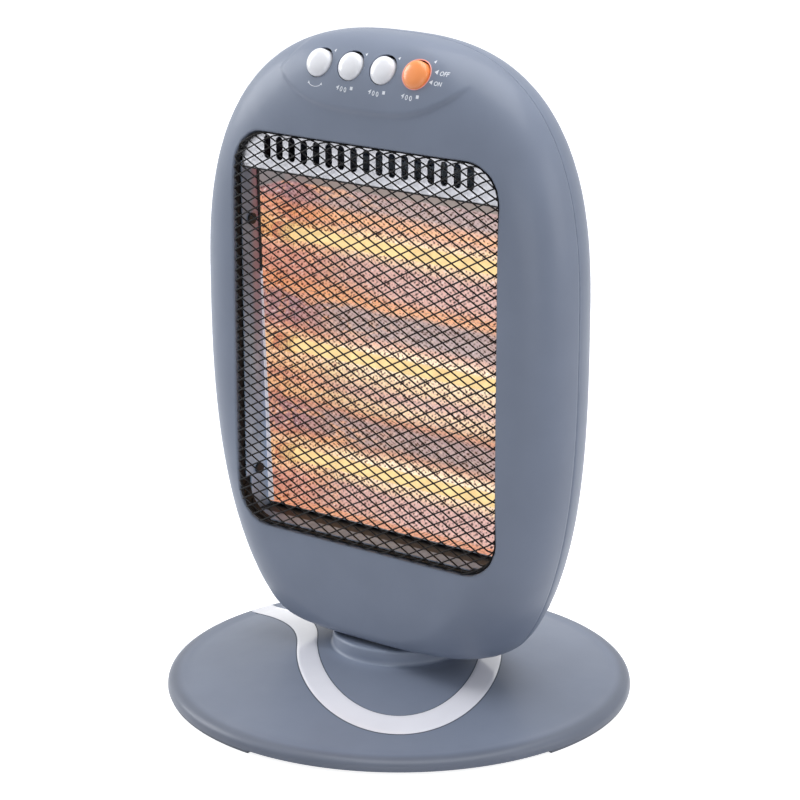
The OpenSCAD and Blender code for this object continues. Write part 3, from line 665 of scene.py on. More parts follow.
SHELL_LOOK = {"rough": 0.46, "mottle": 0.03, "coat": 0.08}
FINISHES: dict[str, Finish] = {
    f.name: f
    for f in (
        # The shell's high edge wear also paints a highlight along the seam's edges
        Moulded("shell", linear(120, 129, 147), wear_and_highlight=0.6, **SHELL_LOOK),
        RimShaded("base_shell", linear(121, 129, 146), wear_and_highlight=0.2, **SHELL_LOOK),
        Moulded("strip", linear(247, 245, 251), 0.25, mottle=0.02, coat=1.0),
        Moulded("dark_plastic", linear(58, 62, 70), 0.5),
        Moulded("black_plastic", linear(20, 20, 22), 0.5),
        Moulded("white_cap", linear(246, 245, 248), 0.3, 0.35, 0.04, mottle=0.01, coat=0.5),
        Moulded("nylon", linear(228, 220, 200), 0.5),
        Moulded("black_wire", linear(7, 7, 9), 0.55, 0.2, wear_and_highlight=0.05, gloss=0.2),
        Moulded("ceramic", linear(226, 220, 208), 0.7, 0.5, 0.3),
        Moulded("wire_cover", linear(214, 214, 208), 0.6),
        Moulded("inlet_rubber", linear(26, 26, 28), 0.7, grain_depth=0.25),
        Moulded("black_screw", linear(9, 9, 10), 0.6, wear_and_highlight=0.05),
        Moulded("print", linear(236, 238, 244), 0.5, mottle=0.04, wear_and_highlight=0.0),
        # Dark ribbon round the strip: painted shade that stands for the groove's shadow
        Moulded("seal", linear(78, 85, 98), 0.6),
        Moulded("foot_skirt", linear(92, 98, 110), 0.5),
        Sheet("galvanised", linear(176, 186, 198), 0.38, 9, 0.22),
        Sheet("vent_sheet", linear(224, 224, 230), 0.3, 3, lines=(0.05, 1, 1)),
        Sheet("steel", linear(196, 198, 204), 0.28, 3),
        Sheet("spring_steel", linear(180, 182, 188), 0.25, 2),
        Sheet("motor_case", linear(176, 178, 182), 0.4, 6),
        Sheet("brass", linear(212, 176, 98), 0.3, 3),
        # Painted reflection of the tubes' glow on the reflector's flanges
        Glow("flange_sheet", linear(236, 232, 238), linear(250, 244, 250), 0.32, 0.4),
        GlowPaintedMirror("mirror_sheet", linear(172, 170, 180), 0.25),
        GlowPaintedMirror("mirror_end", linear(160, 150, 154), 0.35, 0.35),
        LitWall("side_sheet", linear(170, 190, 214)),
        LitWall("tray_sheet", linear(166, 177, 198), dark_from=-24.5, red=0.0),
        Glow("quartz", linear(140, 120, 90), linear(255, 224, 160), 0.9, 0.1, 0.62),
        Glow("filament", linear(120, 90, 60), linear(255, 236, 184), 1.1, 0.5),
        GlowPaintedCeramic("glow_painted_ceramic", linear(150, 130, 118)),
        Glow("orange_cap", linear(252, 157, 86), linear(255, 130, 60), 0.1, 0.3),
        Glow("lit_rim", linear(236, 172, 162), linear(255, 150, 130), 0.2, 0.3),
    )
}


# Nodes beside the tubes that take finishes with painted glow and shade, which their material slot
# doesn't give
LIT_NODES = {
    "lamp_end_caps": "glow_painted_ceramic",
    "left_side_wall": "side_sheet",
    "right_side_wall": "side_sheet",
    "floor_plate": "tray_sheet",
}


# Mesh workshop


def link(name: str, data: bpy.types.ID) -> bpy.types.Object:
    """Puts data into the scene.

    Args:
        name: The new object's name.
        data: Its mesh, curve, light or camera.

    Returns:
        The object.
    """
    made = bpy.data.objects.new(name, data)
    bpy.context.scene.collection.objects.link(made)
    return made


def evaluated(piece: bpy.types.Object) -> bpy.types.Mesh:
    """Gives the piece's mesh with its modifiers or curve settings applied."""
    graph = bpy.context.evaluated_depsgraph_get()
    return bpy.data.meshes.new_from_object(piece.evaluated_get(graph))


def meshed(curve: bpy.types.Curve) -> bpy.types.Mesh:
    """Turns a curve or a text into a mesh.

    Args:
        curve: The curve or text.

    Returns:
        The mesh.
    """
    drawn = link(curve.name + "_drawn", curve)
    mesh = evaluated(drawn)
    bpy.data.objects.remove(drawn)
    return mesh


def smooth(mesh: bpy.types.Mesh, sharp: float = SHARP) -> None:
    """Shades a mesh smooth, with its edges beyond an angle kept sharp."""
    mesh.polygons.foreach_set("use_smooth", [True] * len(mesh.polygons))
    mesh.set_sharp_from_angle(angle=sharp)


def settle(piece: bpy.types.Object) -> None:
    """Applies the piece's modifiers to its mesh.

    Args:
        piece: The piece.
    """
    mesh = evaluated(piece)
    piece.modifiers.clear()
    piece.data = mesh
    mesh.name = piece.name


def cut(piece: bpy.types.Object, cutter: bpy.types.Object) -> None:
    """Cuts a closed piece.

    Args:
        piece: The piece.
        cutter: The closed shape that is taken away, and then thrown away.
    """
    tool = piece.modifiers.new("cut", "BOOLEAN")
    tool.operation, tool.solver, tool.object = "DIFFERENCE", "MANIFOLD", cutter
    settle(piece)
    bpy.data.objects.remove(cutter)
    smooth(piece.data)


def fit(piece: bpy.types.Object, body: str, slot: str, *nodes: str) -> None:
    """Ties a piece to the frame.

    Args:
        piece: The piece.
        body: The body that it rides on.
        slot: Its material slot; not used.
        nodes: The CAD nodes that it stands for.
    """
    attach(piece, body)
    if nodes:
        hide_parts(*nodes)
    LOG.info("%s: %d faces on %s", piece.name, len(piece.data.polygons), body)


def tube(
    name: str, runs: Sequence[Sequence[Vector]], radius: float, finish: str, sides: int = 1
) -> bpy.types.Object:
    """Makes round wires through runs of places.

    Args:
        name: The piece's name.
        runs: For each wire, its places in millimetres.
        radius: The wire's radius in millimetres.
        finish: The wire's finish.
        sides: Fineness of the round section.

    Returns:
        The wires as one mesh object.
    """
    curve = bpy.data.curves.new(name, "CURVE")
    curve.dimensions, curve.use_fill_caps = "3D", True
    curve.bevel_depth, curve.bevel_resolution = radius * MM, sides
    for run in runs:
        spline = curve.splines.new("POLY")
        spline.points.add(len(run) - 1)
        for point, place in zip(spline.points, run):
            point.co = (*(place * MM), 1.0)
    mesh = meshed(curve)
    mesh.name = name
    mesh.materials.clear()
    mesh.materials.append(FINISHES[finish].material())
    smooth(mesh, WIRE_SHARP)
    return link(name, mesh)


class Bench:
    """A mesh in millimetres on the way to becoming a finished piece."""

    def __init__(self) -> None:
        """Starts an empty mesh whose corners can carry their place in a ring."""
        self.bm = bmesh.new()
        self.pos = self.bm.verts.layers.int.new("pos")

    def ring(self, places: Sequence[Vector]) -> Edges:
        """Makes a circle and moves its corners.

        Args:
            places: The corners' places, in order.

        Returns:
            Its edges.
        """
        count = len(places)
        made = bmesh.ops.create_circle(self.bm, segments=count, radius=1.0)["verts"]
        for v in made:
            v[self.pos] = round(math.atan2(v.co.y, v.co.x) / math.tau * count) % count
            v.co = places[v[self.pos]]
        return list(dict.fromkeys(e for v in made for e in v.link_edges))

    def grow(self, edges: Edges, places: Sequence[Vector]) -> Edges:
        """Extrudes a ring or line of edges once.

        Args:
            edges: The edges.
            places: The new corners' places, in order.

        Returns:
            The new edges.
        """
        geom = bmesh.ops.extrude_edge_only(self.bm, edges=edges)["geom"]
        fresh = {g for g in geom if isinstance(g, bmesh.types.BMVert)}
        for v in fresh:
            v.co = places[v[self.pos]]
        return [g for g in geom if isinstance(g, bmesh.types.BMEdge) and fresh.issuperset(g.verts)]

    def line(self, places: Sequence[Vector]) -> Edges:
        """Draws an open chain of edges.

        Args:
            places: The corners' places, in order.

        Returns:
            The edges.
        """
        verts = [self.bm.verts.new(p) for p in places]
        for i, v in enumerate(verts):
            v[self.pos] = i
        return [self.bm.edges.new(pair) for pair in zip(verts, verts[1:])]

    def sweep(self, rings: Sequence[Sequence[Vector]], closed: bool = True) -> Edges:
        """Skins a run of rings or lines.

        Args:
            rings: The places of each.
            closed: Whether they are rings.

        Returns:
            The last one's edges.
        """
        edges = self.ring(rings[0]) if closed else self.line(rings[0])
        for places in rings[1:]:
            edges = self.grow(edges, places)
        return edges

    def lathe(self, profile: Sequence[tuple[float, float]], sides: int, closed: bool) -> None:
        """Spins a profile round the Z axis.

        Args:
            profile: Its (radius, height) pairs.
            sides: How many steps the turn has.
            closed: Whether the profile ends where it starts.
        """
        places = [Vector((r, 0, z)) for r, z in profile]
        edges = self.line(places + places[:1] if closed else places)
        verts = list(dict.fromkeys(v for e in edges for v in e.verts))
        bmesh.ops.remove_doubles(self.bm, verts=verts, dist=1e-5)
        geom = [*self.bm.verts, *self.bm.edges]
        spin = {"cent": (0, 0, 0), "axis": (0, 0, 1), "angle": math.tau, "steps": sides}
        bmesh.ops.spin(self.bm, geom=geom, use_merge=True, **spin)
        self.weld()

    def sheet(self, columns: int, rows: int, place: Callable[[float, float], Vector]) -> None:
        """Lays a grid.

        Args:
            columns: Its faces across.
            rows: Its faces down.
            place: Turns a corner's two coordinates, each from -1 to 1, into its place.
        """
        bmesh.ops.create_grid(self.bm, x_segments=columns, y_segments=rows, size=1.0)
        for v in self.bm.verts:
            v.co = place(v.co.x, v.co.y)

    def disc(self, sides: int, radius: float, matrix: Matrix) -> None:
        """Adds a flat many-sided face round the middle of a matrix."""
        shape = {"cap_ends": True, "segments": sides, "radius": radius}
        bmesh.ops.create_circle(self.bm, matrix=matrix, **shape)

    def weld(self) -> None:
        """Merges doubled corners and turns the faces outwards."""
        bmesh.ops.remove_doubles(self.bm, verts=self.bm.verts, dist=1e-4)
        bmesh.ops.recalc_face_normals(self.bm, faces=self.bm.faces)

    def face(self, direction: Vector) -> None:
        """Turns an open skin.

        Args:
            direction: Where most of it looks afterwards.
        """
        bmesh.ops.recalc_face_normals(self.bm, faces=self.bm.faces)
        if sum(f.normal.dot(direction) * f.calc_area() for f in self.bm.faces) < 0:
            bmesh.ops.reverse_faces(self.bm, faces=self.bm.faces)

    def turn(self, matrix: Matrix) -> None:
        """Moves the whole mesh by a matrix."""
        bmesh.ops.transform(self.bm, matrix=matrix, verts=self.bm.verts)

    def object(
        self, name: str, finishes: Sequence[str], sharp: float = SHARP, wall: float = 0.0
    ) -> bpy.types.Object:
        """Turns the mesh into an object in metres.

        Args:
            name: The piece's name.
            finishes: Its finishes.
            sharp: Angle past which an edge stays sharp.
            wall: Wall that an outward-facing skin gets on its inner side, in millimetres.

        Returns:
            The object.
        """
        bmesh.ops.scale(self.bm, vec=(MM, MM, MM), verts=self.bm.verts)
        self.bm.verts.layers.int.remove(self.bm.verts.layers.int["pos"])
        mesh = bpy.data.meshes.new(name)
        self.bm.to_mesh(mesh)
        self.bm.free()
        for finish in finishes:
            mesh.materials.append(FINISHES[finish].material())
        made = link(name, mesh)
        if wall:
            tool = made.modifiers.new("wall", "SOLIDIFY")
            tool.thickness, tool.offset = wall * MM, -1.0
            if len(finishes) > 1:
                tool.material_offset = tool.material_offset_rim = 1
            settle(made)
        smooth(made.data, sharp)
        return made


# Head


class Side(Enum):
    """The two sides of the head, by the sign of their X."""

    LEFT = -1
    RIGHT = 1


@dataclass(frozen=True)
class HeadShape:
    """The head's skin: a squared oval that rounds off to a flat face and a flat back."""

    height: float = 481.0
    half_width: float = 156.5
    low: float = 43.0
    mid: float = 292.0
    low_reach: float = 282.0
    top_power: float = 2.65
    low_power: float = 2.7
    face: float = 44.3
    seam: float = 4.0
    seam_bow: float = 5.0
    bow_reach: float = 200.0
    back: float = 48.0
    side_shoulder: float = 38.0
    top_shoulder: float = 66.0
    shoulder_power: float = 1.3
    back_shoulder: float = 66.0
    face_lift: float = 1.5
    back_lift: float = 3.0
    corner_soft: float = 5.0
    wall: float = 2.5
    pad_raise: float = 2.0
    pad_half: float = 79.0
    pad_top: float = 55.0
    pad_low: float = 430.0
    pad_climb: float = 22.0
    pad_edge: float = 1.7
    pad_fade: float = 9.0
    pad_from: tuple[float, float] = (0.05, 0.3)
    seam_groove: float = 0.7

    def outline(self, t: float, inset: float, grow: float) -> tuple[float, float]:
        """Gives the outline's point at t radians, drawn in by an inset.

        Args:
            t: Angle round the outline.
            inset: Distance inwards.
            grow: How many times greater the inset is at the top.

        Returns:
            The point's x and z.
        """
        up = math.sin(t) >= 0
        power = 2 / (self.top_power if up else self.low_power)
        reach = self.height - self.mid if up else self.low_reach
        drawn = inset * (1 + ((grow - 1) * math.sin(t) ** 2 if up else 0))
        x = (self.half_width - drawn) * signed_power(math.cos(t), power)
        return x, self.mid + (reach - drawn) * signed_power(math.sin(t), power)

    def floored(self, z: float, low: float) -> float:
        """Eases a height so that it never falls below a floor."""
        soft = self.corner_soft
        return z if z - low > 40 * soft else low + soft * math.log(1 + math.exp((z - low) / soft))

    def skin(
        self, t: float, inset: float, y: float, bow: float, lift: float, grow: float
    ) -> Vector:
        """Gives a point of the skin.

        Args:
            t: Angle round the outline.
            inset: Distance inwards of it.
            y: Depth at the widest height.
            bow: Share of the seam's bow that is added to the depth.
            lift: How far the underside is raised.
            grow: How many times greater the inset is at the top.

        Returns:
            The point.
        """
        x, z = self.outline(t, inset, grow)
        z = self.floored(z, self.low + lift)
        return Vector((x, y + bow * self.seam_bow * ((z - self.mid) / self.bow_reach) ** 2, z))

    def pad(self, x: float, z: float) -> float:
        """Gives how much of the button panel's rise a place on the front has.

        Args:
            x: The place's x.
            z: The place's z.

        Returns:
            A share from 0 to 1.
        """
        side = abs(x)
        slope = 3 * self.pad_climb * side**2 / self.pad_half**3
        low = self.pad_low + self.pad_climb * (side / self.pad_half) ** 3
        over = (z - low) / math.hypot(1, slope)
        end = self.pad_low + self.pad_climb
        run, rise = self.pad_half - self.pad_top, self.height + 5 - end
        inside = ((self.pad_half - side) * rise - (z - end) * run) / math.hypot(run, rise)
        soft = self.pad_edge if x < 0 else self.pad_fade
        return ease(over, -self.pad_edge, self.pad_edge) * ease(inside, -soft, soft)

    def front(self, t: float, a: float) -> Vector:
        """Gives a point of the front skin.

        Args:
            t: Angle round the outline.
            a: Angle from the seam, 0, to the face, a right angle.

        Returns:
            The point.
        """
        bow, drop = math.cos(a), 1 - math.cos(a)
        inset = self.side_shoulder * drop**self.shoulder_power
        y = -self.seam - (self.face - self.seam) * math.sin(a)
        grow = self.top_shoulder / self.side_shoulder
        place = self.skin(t, inset, y, bow, self.face_lift * drop, grow)
        place.y -= self.pad_raise * self.pad(place.x, place.z) * ease(a, *self.pad_from)
        return place

    def rear(self, t: float, a: float) -> Vector:
        """Gives a point of the rear skin.

        Args:
            t: Angle round the outline.
            a: Angle from the seam, 0, to the back, a right angle.

        Returns:
            The point.
        """
        bow, drop = math.cos(a), 1 - math.cos(a)
        y = -self.seam + (self.back + self.seam) * math.sin(a)
        return self.skin(t, self.back_shoulder * drop, y, bow, self.back_lift * drop, 1)

    def around(self, count: int, dense: float) -> list[float]:
        """Spaces points round the outline, closer together beside the button panel.

        Args:
            count: How many points.
            dense: How many times closer they are there.

        Returns:
            Their angles in radians.
        """
        angles = steps(0.0, math.tau, 2880)
        lengths = []
        for before, after in zip(angles, angles[1:]):
            here, there = self.front(before, 0.0), self.front(after, 0.0)
            near = there.z > self.mid and abs(there.x) < self.pad_half + 10
            lengths.append((there - here).length * (dense if near else 1.0))
        cuts = spaced(lengths, count)[:-1]
        return [angles[j] + share * (angles[j + 1] - angles[j]) for j, share in cuts]


@dataclass(frozen=True)
class Opening:
    """The round-cornered opening in the front, and its signed distance."""

    half: float = 115.5
    low: float = 114.8
    high: float = 407.0
    r: float = 28.0

    @property
    def mid(self) -> float:
        """Gives the height of its middle."""
        return (self.low + self.high) / 2

    def distance(self, x: float, z: float) -> float:
        """Measures from the opening's edge.

        Args:
            x: A place's x.
            z: Its z.

        Returns:
            How far it is outside the edge, or less than 0 inside.
        """
        dx = abs(x) - self.half + self.r
        dz = abs(z - self.mid) - (self.high - self.low) / 2 + self.r
        return math.hypot(max(dx, 0), max(dz, 0)) + min(max(dx, dz), 0) - self.r

    def slope(self, x: float, z: float, h: float = 0.05) -> Vector:
        """Gives the outward direction across the edge nearest to a place, from a step of h."""
        across = self.distance(x + h, z) - self.distance(x - h, z)
        return Vector((across, 0, self.distance(x, z + h) - self.distance(x, z - h))).normalized()

    def towards(self, place: Vector, offset: float) -> tuple[float, float]:
        """Finds where the line from the middle to a place is offset from the edge.

        Args:
            place: A place outside the opening.
            offset: Distance outside the edge, or less than 0 inside.

        Returns:
            The x and z found.
        """
        rise = place.z - self.mid
        share = bisect(
            lambda s: self.distance(place.x * s, self.mid + rise * s) < offset, 0.0, 1.6
        )
        return place.x * share, self.mid + rise * share


def bisect(below: Callable[[float], bool], low: float, high: float) -> float:
    """Finds where a test turns false.

    Args:
        below: The test.
        low: A value at which it is true.
        high: A value at which it is false.

    Returns:
        The last value found to pass.
    """
    for _ in range(30):
        half = (low + high) / 2
        low, high = (half, high) if below(half) else (low, half)
    return low


@dataclass
class Shells:
    """The head's two moulded halves, with the button panel and the opening's lip."""

    shape: HeadShape = field(default_factory=HeadShape)
    opening: Opening = field(default_factory=Opening)
    count: int = 330
    dense: float = 3.2
    rings: int = 56
    start: float = 0.045
    lip_depth: float = 10.0
    edge_round: float = 1.6
    hole_r: float = 11.2
    hub_hole_r: float = 34.4
    slot_r: float = 2.0
    slot_x: tuple[int, ...] = tuple(range(-65, 66, 10))
    slot_spans: tuple[tuple[int, int], ...] = ((330, 370), (150, 180))
    boss_angles: tuple[int, ...] = (0, 40, 140, 180, 222, 318)
    boss_inset: float = 15.0
    seat_y: float = 13.5
    seat_r: float = 3.8

    def build(self) -> BVHTree:
        """Builds both shells.

        Returns:
            The front skin, for what is printed on it.
        """
        angles = self.shape.around(self.count, self.dense)
        skin = self._front(angles)
        self._rear(angles)
        return skin

    def _path(self, t: float) -> list[Vector]:
        """Gives one column of the front skin.

        Args:
            t: Angle round the outline.

        Returns:
            Its places, evenly spaced from the seam to the opening's edge.
        """
        fine = [self.shape.front(t, a) for a in steps(self.start, QUARTER, 150)]
        kept = [p for p in fine if self.opening.distance(p.x, p.z) > self.edge_round]
        x, z = self.opening.towards(kept[-1], self.edge_round)
        y = -self.shape.face if len(kept) == len(fine) else fine[len(kept)].y
        kept.append(Vector((x, y, z)))
        lengths = [(after - before).length for before, after in zip(kept, kept[1:])]
        return [kept[j].lerp(kept[j + 1], share) for j, share in spaced(lengths, self.rings)]

    def _seam(
        self, side: Callable[[float, float], Vector], angles: Sequence[float], back: float
    ) -> list[list[Vector]]:
        """Gives the two rings that round a shell's edge into the seam's groove.

        Args:
            side: The shell's skin.
            angles: Angles of its columns.
            back: 1 for the rear shell and -1 for the front one.

        Returns:
            The places of each ring.
        """
        groove = self.shape.seam_groove
        rings = []
        for share in (1.0, 0.4):
            rings.append([])
            for place in (side(t, 0.0) for t in angles):
                inward = Vector((-place.x, 0, self.shape.mid - place.z)).normalized()
                step = Vector((0, back * groove * (1 - share), 0))
                rings[-1].append(place + inward * groove * share + step)
        return rings

    def _front(self, angles: Sequence[float]) -> BVHTree:
        """Builds the front shell.

        Args:
            angles: Angles of its columns.

        Returns:
            Its skin.
        """
        bench, shape, edge = Bench(), self.shape, self.edge_round
        rings = self._seam(shape.front, angles, -1.0)
        rings += [list(ring) for ring in zip(*(self._path(t) for t in angles))]
        last = rings[-1]
        for turn in steps(0.0, QUARTER, 4)[1:]:
            places = [self.opening.towards(p, edge * (1 - math.sin(turn))) for p in last]
            back = edge * (1 - math.cos(turn))
            rings.append([Vector((x, p.y + back, z)) for p, (x, z) in zip(last, places)])
        rim, end = rings[-1], self.lip_depth - shape.face
        for depth in (0.5, 1.0):
            rings.append([Vector((p.x, p.y + (end - p.y) * depth, p.z)) for p in rim])
        bench.sweep(rings)
        bench.face(FORWARD)
        skin = BVHTree.FromBMesh(bench.bm)
        piece = bench.object("front_shell_moulding", ["shell"], wall=shape.wall)
        cut(piece, self._cutters(self._buttons, self._hub))
        fit(piece, "head", "shell", "front_shell")
        return skin

    def _rear(self, angles: Sequence[float]) -> None:
        """Builds the rear shell.

        Args:
            angles: Angles of its columns.
        """
        bench, shape = Bench(), self.shape
        rings = self._seam(shape.rear, angles, 1.0)
        rings += [[shape.rear(t, a) for t in angles] for a in steps(self.start, QUARTER, 32)]
        last = rings[-1]
        for share in (0.25, 0.5, 0.75, 0.93):
            ring = [(p.x * (1 - share), shape.back, p.z + (shape.mid - p.z) * share) for p in last]
            rings.append([Vector(p) for p in ring])
        bmesh.ops.edgeloop_fill(bench.bm, edges=bench.sweep(rings))
        bench.face(BACK)
        piece = bench.object("rear_shell_moulding", ["shell"], wall=shape.wall)
        cut(piece, self._cutters(self._slots, self._seats, self._hub))
        fit(piece, "head", "shell", "rear_shell")

    @staticmethod
    def _cutters(*makers: Callable[[Bench], None]) -> bpy.types.Object:
        """Builds one throwaway object from several cutting shapes.

        Args:
            makers: What adds each shape to a bench.

        Returns:
            The object.
        """
        bench = Bench()
        for maker in makers:
            maker(bench)
        return bench.object("cutter", ["shell"])

    @staticmethod
    def _drill(bench: Bench, r: float, depth: float, matrix: Matrix, sides: int = 48) -> None:
        """Adds a cylinder along its own Z axis."""
        size = {"segments": sides, "radius1": r, "radius2": r, "depth": depth}
        bmesh.ops.create_cone(bench.bm, cap_ends=True, matrix=matrix, **size)

    def _buttons(self, bench: Bench) -> None:
        """Adds the four button holes."""
        for i in range(4):
            self._drill(bench, self.hole_r, 40, Buttons.seat(i), 64)

    def _hub(self, bench: Bench) -> None:
        """Adds the hole in the underside for the hub."""
        self._drill(bench, self.hub_hole_r, 24, Matrix.Translation((0, 0, 45)), 96)

    def _slots(self, bench: Bench) -> None:
        """Adds the rear vent slots, each a cylinder drawn out upwards.

        Args:
            bench: The mesh that they are added to.
        """
        for x in self.slot_x:
            for low, high in self.slot_spans:
                before = set(bench.bm.verts)
                self._drill(bench, self.slot_r, 30, Matrix.Translation((x, 40, low)) @ UPRIGHT, 24)
                for v in set(bench.bm.verts) - before:
                    if v.co.z > low + 1e-4:
                        v.co.z += high - low

    def _seats(self, bench: Bench) -> None:
        """Adds the wells of the six shell screws.

        Args:
            bench: The mesh that they are added to.
        """
        depth = 60
        for degrees in self.boss_angles:
            x, z = self.shape.outline(math.radians(degrees), self.boss_inset, 1)
            place = Matrix.Translation((x, self.seat_y + depth / 2, z)) @ UPRIGHT
            self._drill(bench, self.seat_r, depth, place)


class Pressed(Enum):
    """The two ways that a rocker button can be tipped at rest, in degrees."""

    OFF = -7.0
    ON = 7.0


@dataclass
class Buttons:
    """Four domed rocker caps, the lit ring of the last one and the marks beside them."""

    skin: BVHTree
    tipped: Pressed = Pressed.ON
    pitch: float = 27.9
    row_y: float = -36.339
    row_z: float = 460.5
    lean: float = math.radians(61)
    cap_r: float = 10.0
    rise: float = 3.4
    skirt: float = 8.5
    chamfer: float = 0.6
    soft: float = 0.56
    side_power: float = 0.82
    top_power: float = 0.92
    pivot: float = 7.5
    ring_r: float = 10.85
    ring_t: float = 0.4
    # The marks: how far from a cap's middle the figures and the points are, and their sizes
    figure_at: float = 18.8
    figure_size: float = 3.5
    point_at: float = 13.6
    word_size: float = 2.8
    print_lift: float = 0.09

    @classmethod
    def seat(cls, i: int) -> Matrix:
        """Gives the frame of a button: its Z points out of the panel and its Y up it."""
        place = Matrix.Translation(((i - 1.5) * cls.pitch, cls.row_y, cls.row_z))
        return place @ Matrix.Rotation(cls.lean, 4, "X")

    def build(self) -> None:
        """Builds the caps, the ring and the marks on the front skin."""
        for i, body in enumerate(("swing", "first_tube", "second_tube", "power")):
            self._cap(i, body + "_rocker", "orange_cap" if body == "power" else "white_cap")
        self._ring()
        self._marks()

    def _cap(self, i: int, body: str, finish: str) -> None:
        """Builds one cap with a rounded shoulder.

        Args:
            i: Its place in the row.
            body: The body and node that it is.
            finish: Its finish and material slot.
        """
        bench = Bench()
        r, low, soft = self.cap_r, -self.skirt, self.soft
        profile = [(0.0, low), (r - self.chamfer, low), (r, low + self.chamfer)]
        profile += [(r, -3.0), (r, -1.2)]
        for a in steps(0.0, QUARTER, 14):
            height = -soft + (self.rise + soft) * math.sin(a) ** self.top_power
            profile.append((r * math.cos(a) ** self.side_power, height))
        bench.lathe(profile, 72, False)
        tilt = Matrix.Rotation(math.radians(self.tipped.value), 4, "X")
        there = Matrix.Translation((0, 0, -self.pivot))
        bench.turn(self.seat(i) @ there @ tilt @ there.inverted())
        fit(bench.object(body + "_cap", [finish]), body, finish, body)

    def _ring(self) -> None:
        """Builds the lit ring that lies round the last cap."""
        seat, places = self.seat(3), []
        out = seat.to_3x3() @ UP
        for a in steps(0.0, math.tau, 72):
            above = seat @ Vector((*polar(self.ring_r, a), 20))
            hit = self.skin.ray_cast(above, -out)[0] or seat.translation
            places.append(hit - out * 0.1)
        piece = tube("power_ring", [places], self.ring_t, "lit_rim", 3)
        fit(piece, "head", "orange_cap")

    def _beside(self, i: int, x: float, y: float) -> tuple[float, float]:
        """Gives the front-view place of a point beside a button, in the panel's own directions."""
        place = self.seat(i) @ Vector((x, y, 0))
        return place.x, place.z

    def _marks(self) -> None:
        """Prints the plain marks on the panel."""
        for i in range(4):
            at = self._beside(i, *polar(self.point_at, math.radians(40)))
            self._glyph(f"mark_point_{i}", at, 3, 1.1)
        for i in (1, 2, 3):
            for k, (figure, degrees) in enumerate(zip("400", (-111, -100.5, -90))):
                at = self._beside(i, *polar(self.figure_at, math.radians(degrees)))
                self._print(f"mark_figure_{i}_{k}", figure, at, self.figure_size, degrees + 90)
            self._glyph(f"mark_square_{i}", self._beside(i, 5.2, -17.0), 4, 1.6)
        self._smile()
        for word, x, y in (("OFF", 20.6, 0.9), ("ON", 18.4, -6.3)):
            at = self._beside(3, x, y)
            self._print("mark_" + word.lower(), word, at, self.word_size, -3)
        for name, x, y in (("mark_off_point", 14.8, 2.0), ("mark_on_point", 13.2, -5.4)):
            self._glyph(name, self._beside(3, x, y), 3, 1.7)

    def _drape(self, bench: Bench, name: str) -> None:
        """Lays a flat mesh, drawn in X and Z, on the front skin as a thin print.

        Args:
            bench: The flat mesh.
            name: The piece's name.
        """
        for _ in range(3):
            long = [e for e in bench.bm.edges if e.calc_length() > 0.8]
            bmesh.ops.subdivide_edges(bench.bm, edges=long, cuts=1)
        bmesh.ops.triangulate(bench.bm, faces=bench.bm.faces)
        for v in bench.bm.verts:
            hit = self.skin.ray_cast(Vector((v.co.x, -90, v.co.z)), BACK)[0]
            if hit:
                v.co.y = hit.y - self.print_lift
        bmesh.ops.recalc_face_normals(bench.bm, faces=bench.bm.faces)
        for face in bench.bm.faces:
            if face.normal.y > 0:
                face.normal_flip()
        fit(bench.object(name, ["print"], wall=0.05), "head", "white_cap")

    def _print(
        self, name: str, words: str, at: tuple[float, float], size: float, lean: float
    ) -> None:
        """Prints plain figures or letters at a place on the panel.

        Args:
            name: The piece's name.
            words: What it says.
            at: The x and z of the print's middle.
            size: Height of the letters in millimetres.
            lean: Turn in degrees.
        """
        text = bpy.data.curves.new(name, "FONT")
        text.body, text.size = words, size * 1.35
        text.align_x, text.align_y = "CENTER", "CENTER"
        text.offset, text.resolution_u = 0.075, 3
        mesh = meshed(text)
        bench = Bench()
        bench.bm.from_mesh(mesh)
        layers = bench.bm.verts.layers.int
        bench.pos = layers.get("pos") or layers.new("pos")
        bpy.data.meshes.remove(mesh)
        upright = Matrix.Translation((at[0], 0, at[1])) @ UPRIGHT
        bench.turn(upright @ Matrix.Rotation(math.radians(lean), 4, "Z"))
        bmesh.ops.remove_doubles(bench.bm, verts=bench.bm.verts, dist=0.01)
        self._drape(bench, name)

    def _glyph(self, name: str, at: tuple[float, float], sides: int, radius: float) -> None:
        """Prints a small triangle or square.

        Args:
            name: The piece's name.
            at: The x and z of its middle.
            sides: How many sides it has.
            radius: Distance of its corners from its middle.
        """
        bench = Bench()
        turn = Matrix.Rotation(math.pi / (2 if sides == 3 else 4), 4, "Z")
        bench.disc(sides, radius, Matrix.Translation((at[0], 0, at[1])) @ UPRIGHT @ turn)
        self._drape(bench, name)

    def _smile(self) -> None:
        """Prints the arc that stands for the head's swing."""
        bench, squash = Bench(), Vector((1, 0.55))
        x, z = self._beside(0, 0.5, -15.4)
        rows = []
        for r in (5.6, 6.3):
            arc = steps(math.radians(200), math.radians(340), 20)
            flat = (Vector(polar(r, a)) * squash for a in arc)
            rows.append([Vector((x + p.x, 0, z + p.y)) for p in flat])
        bench.sweep(rows, closed=False)
        for side in Side:
            place = Matrix.Translation((x + side.value * 5.7, 0, z - 1.2))
            bench.disc(3, 1.2, place @ UPRIGHT)
        self._drape(bench, "mark_swing")


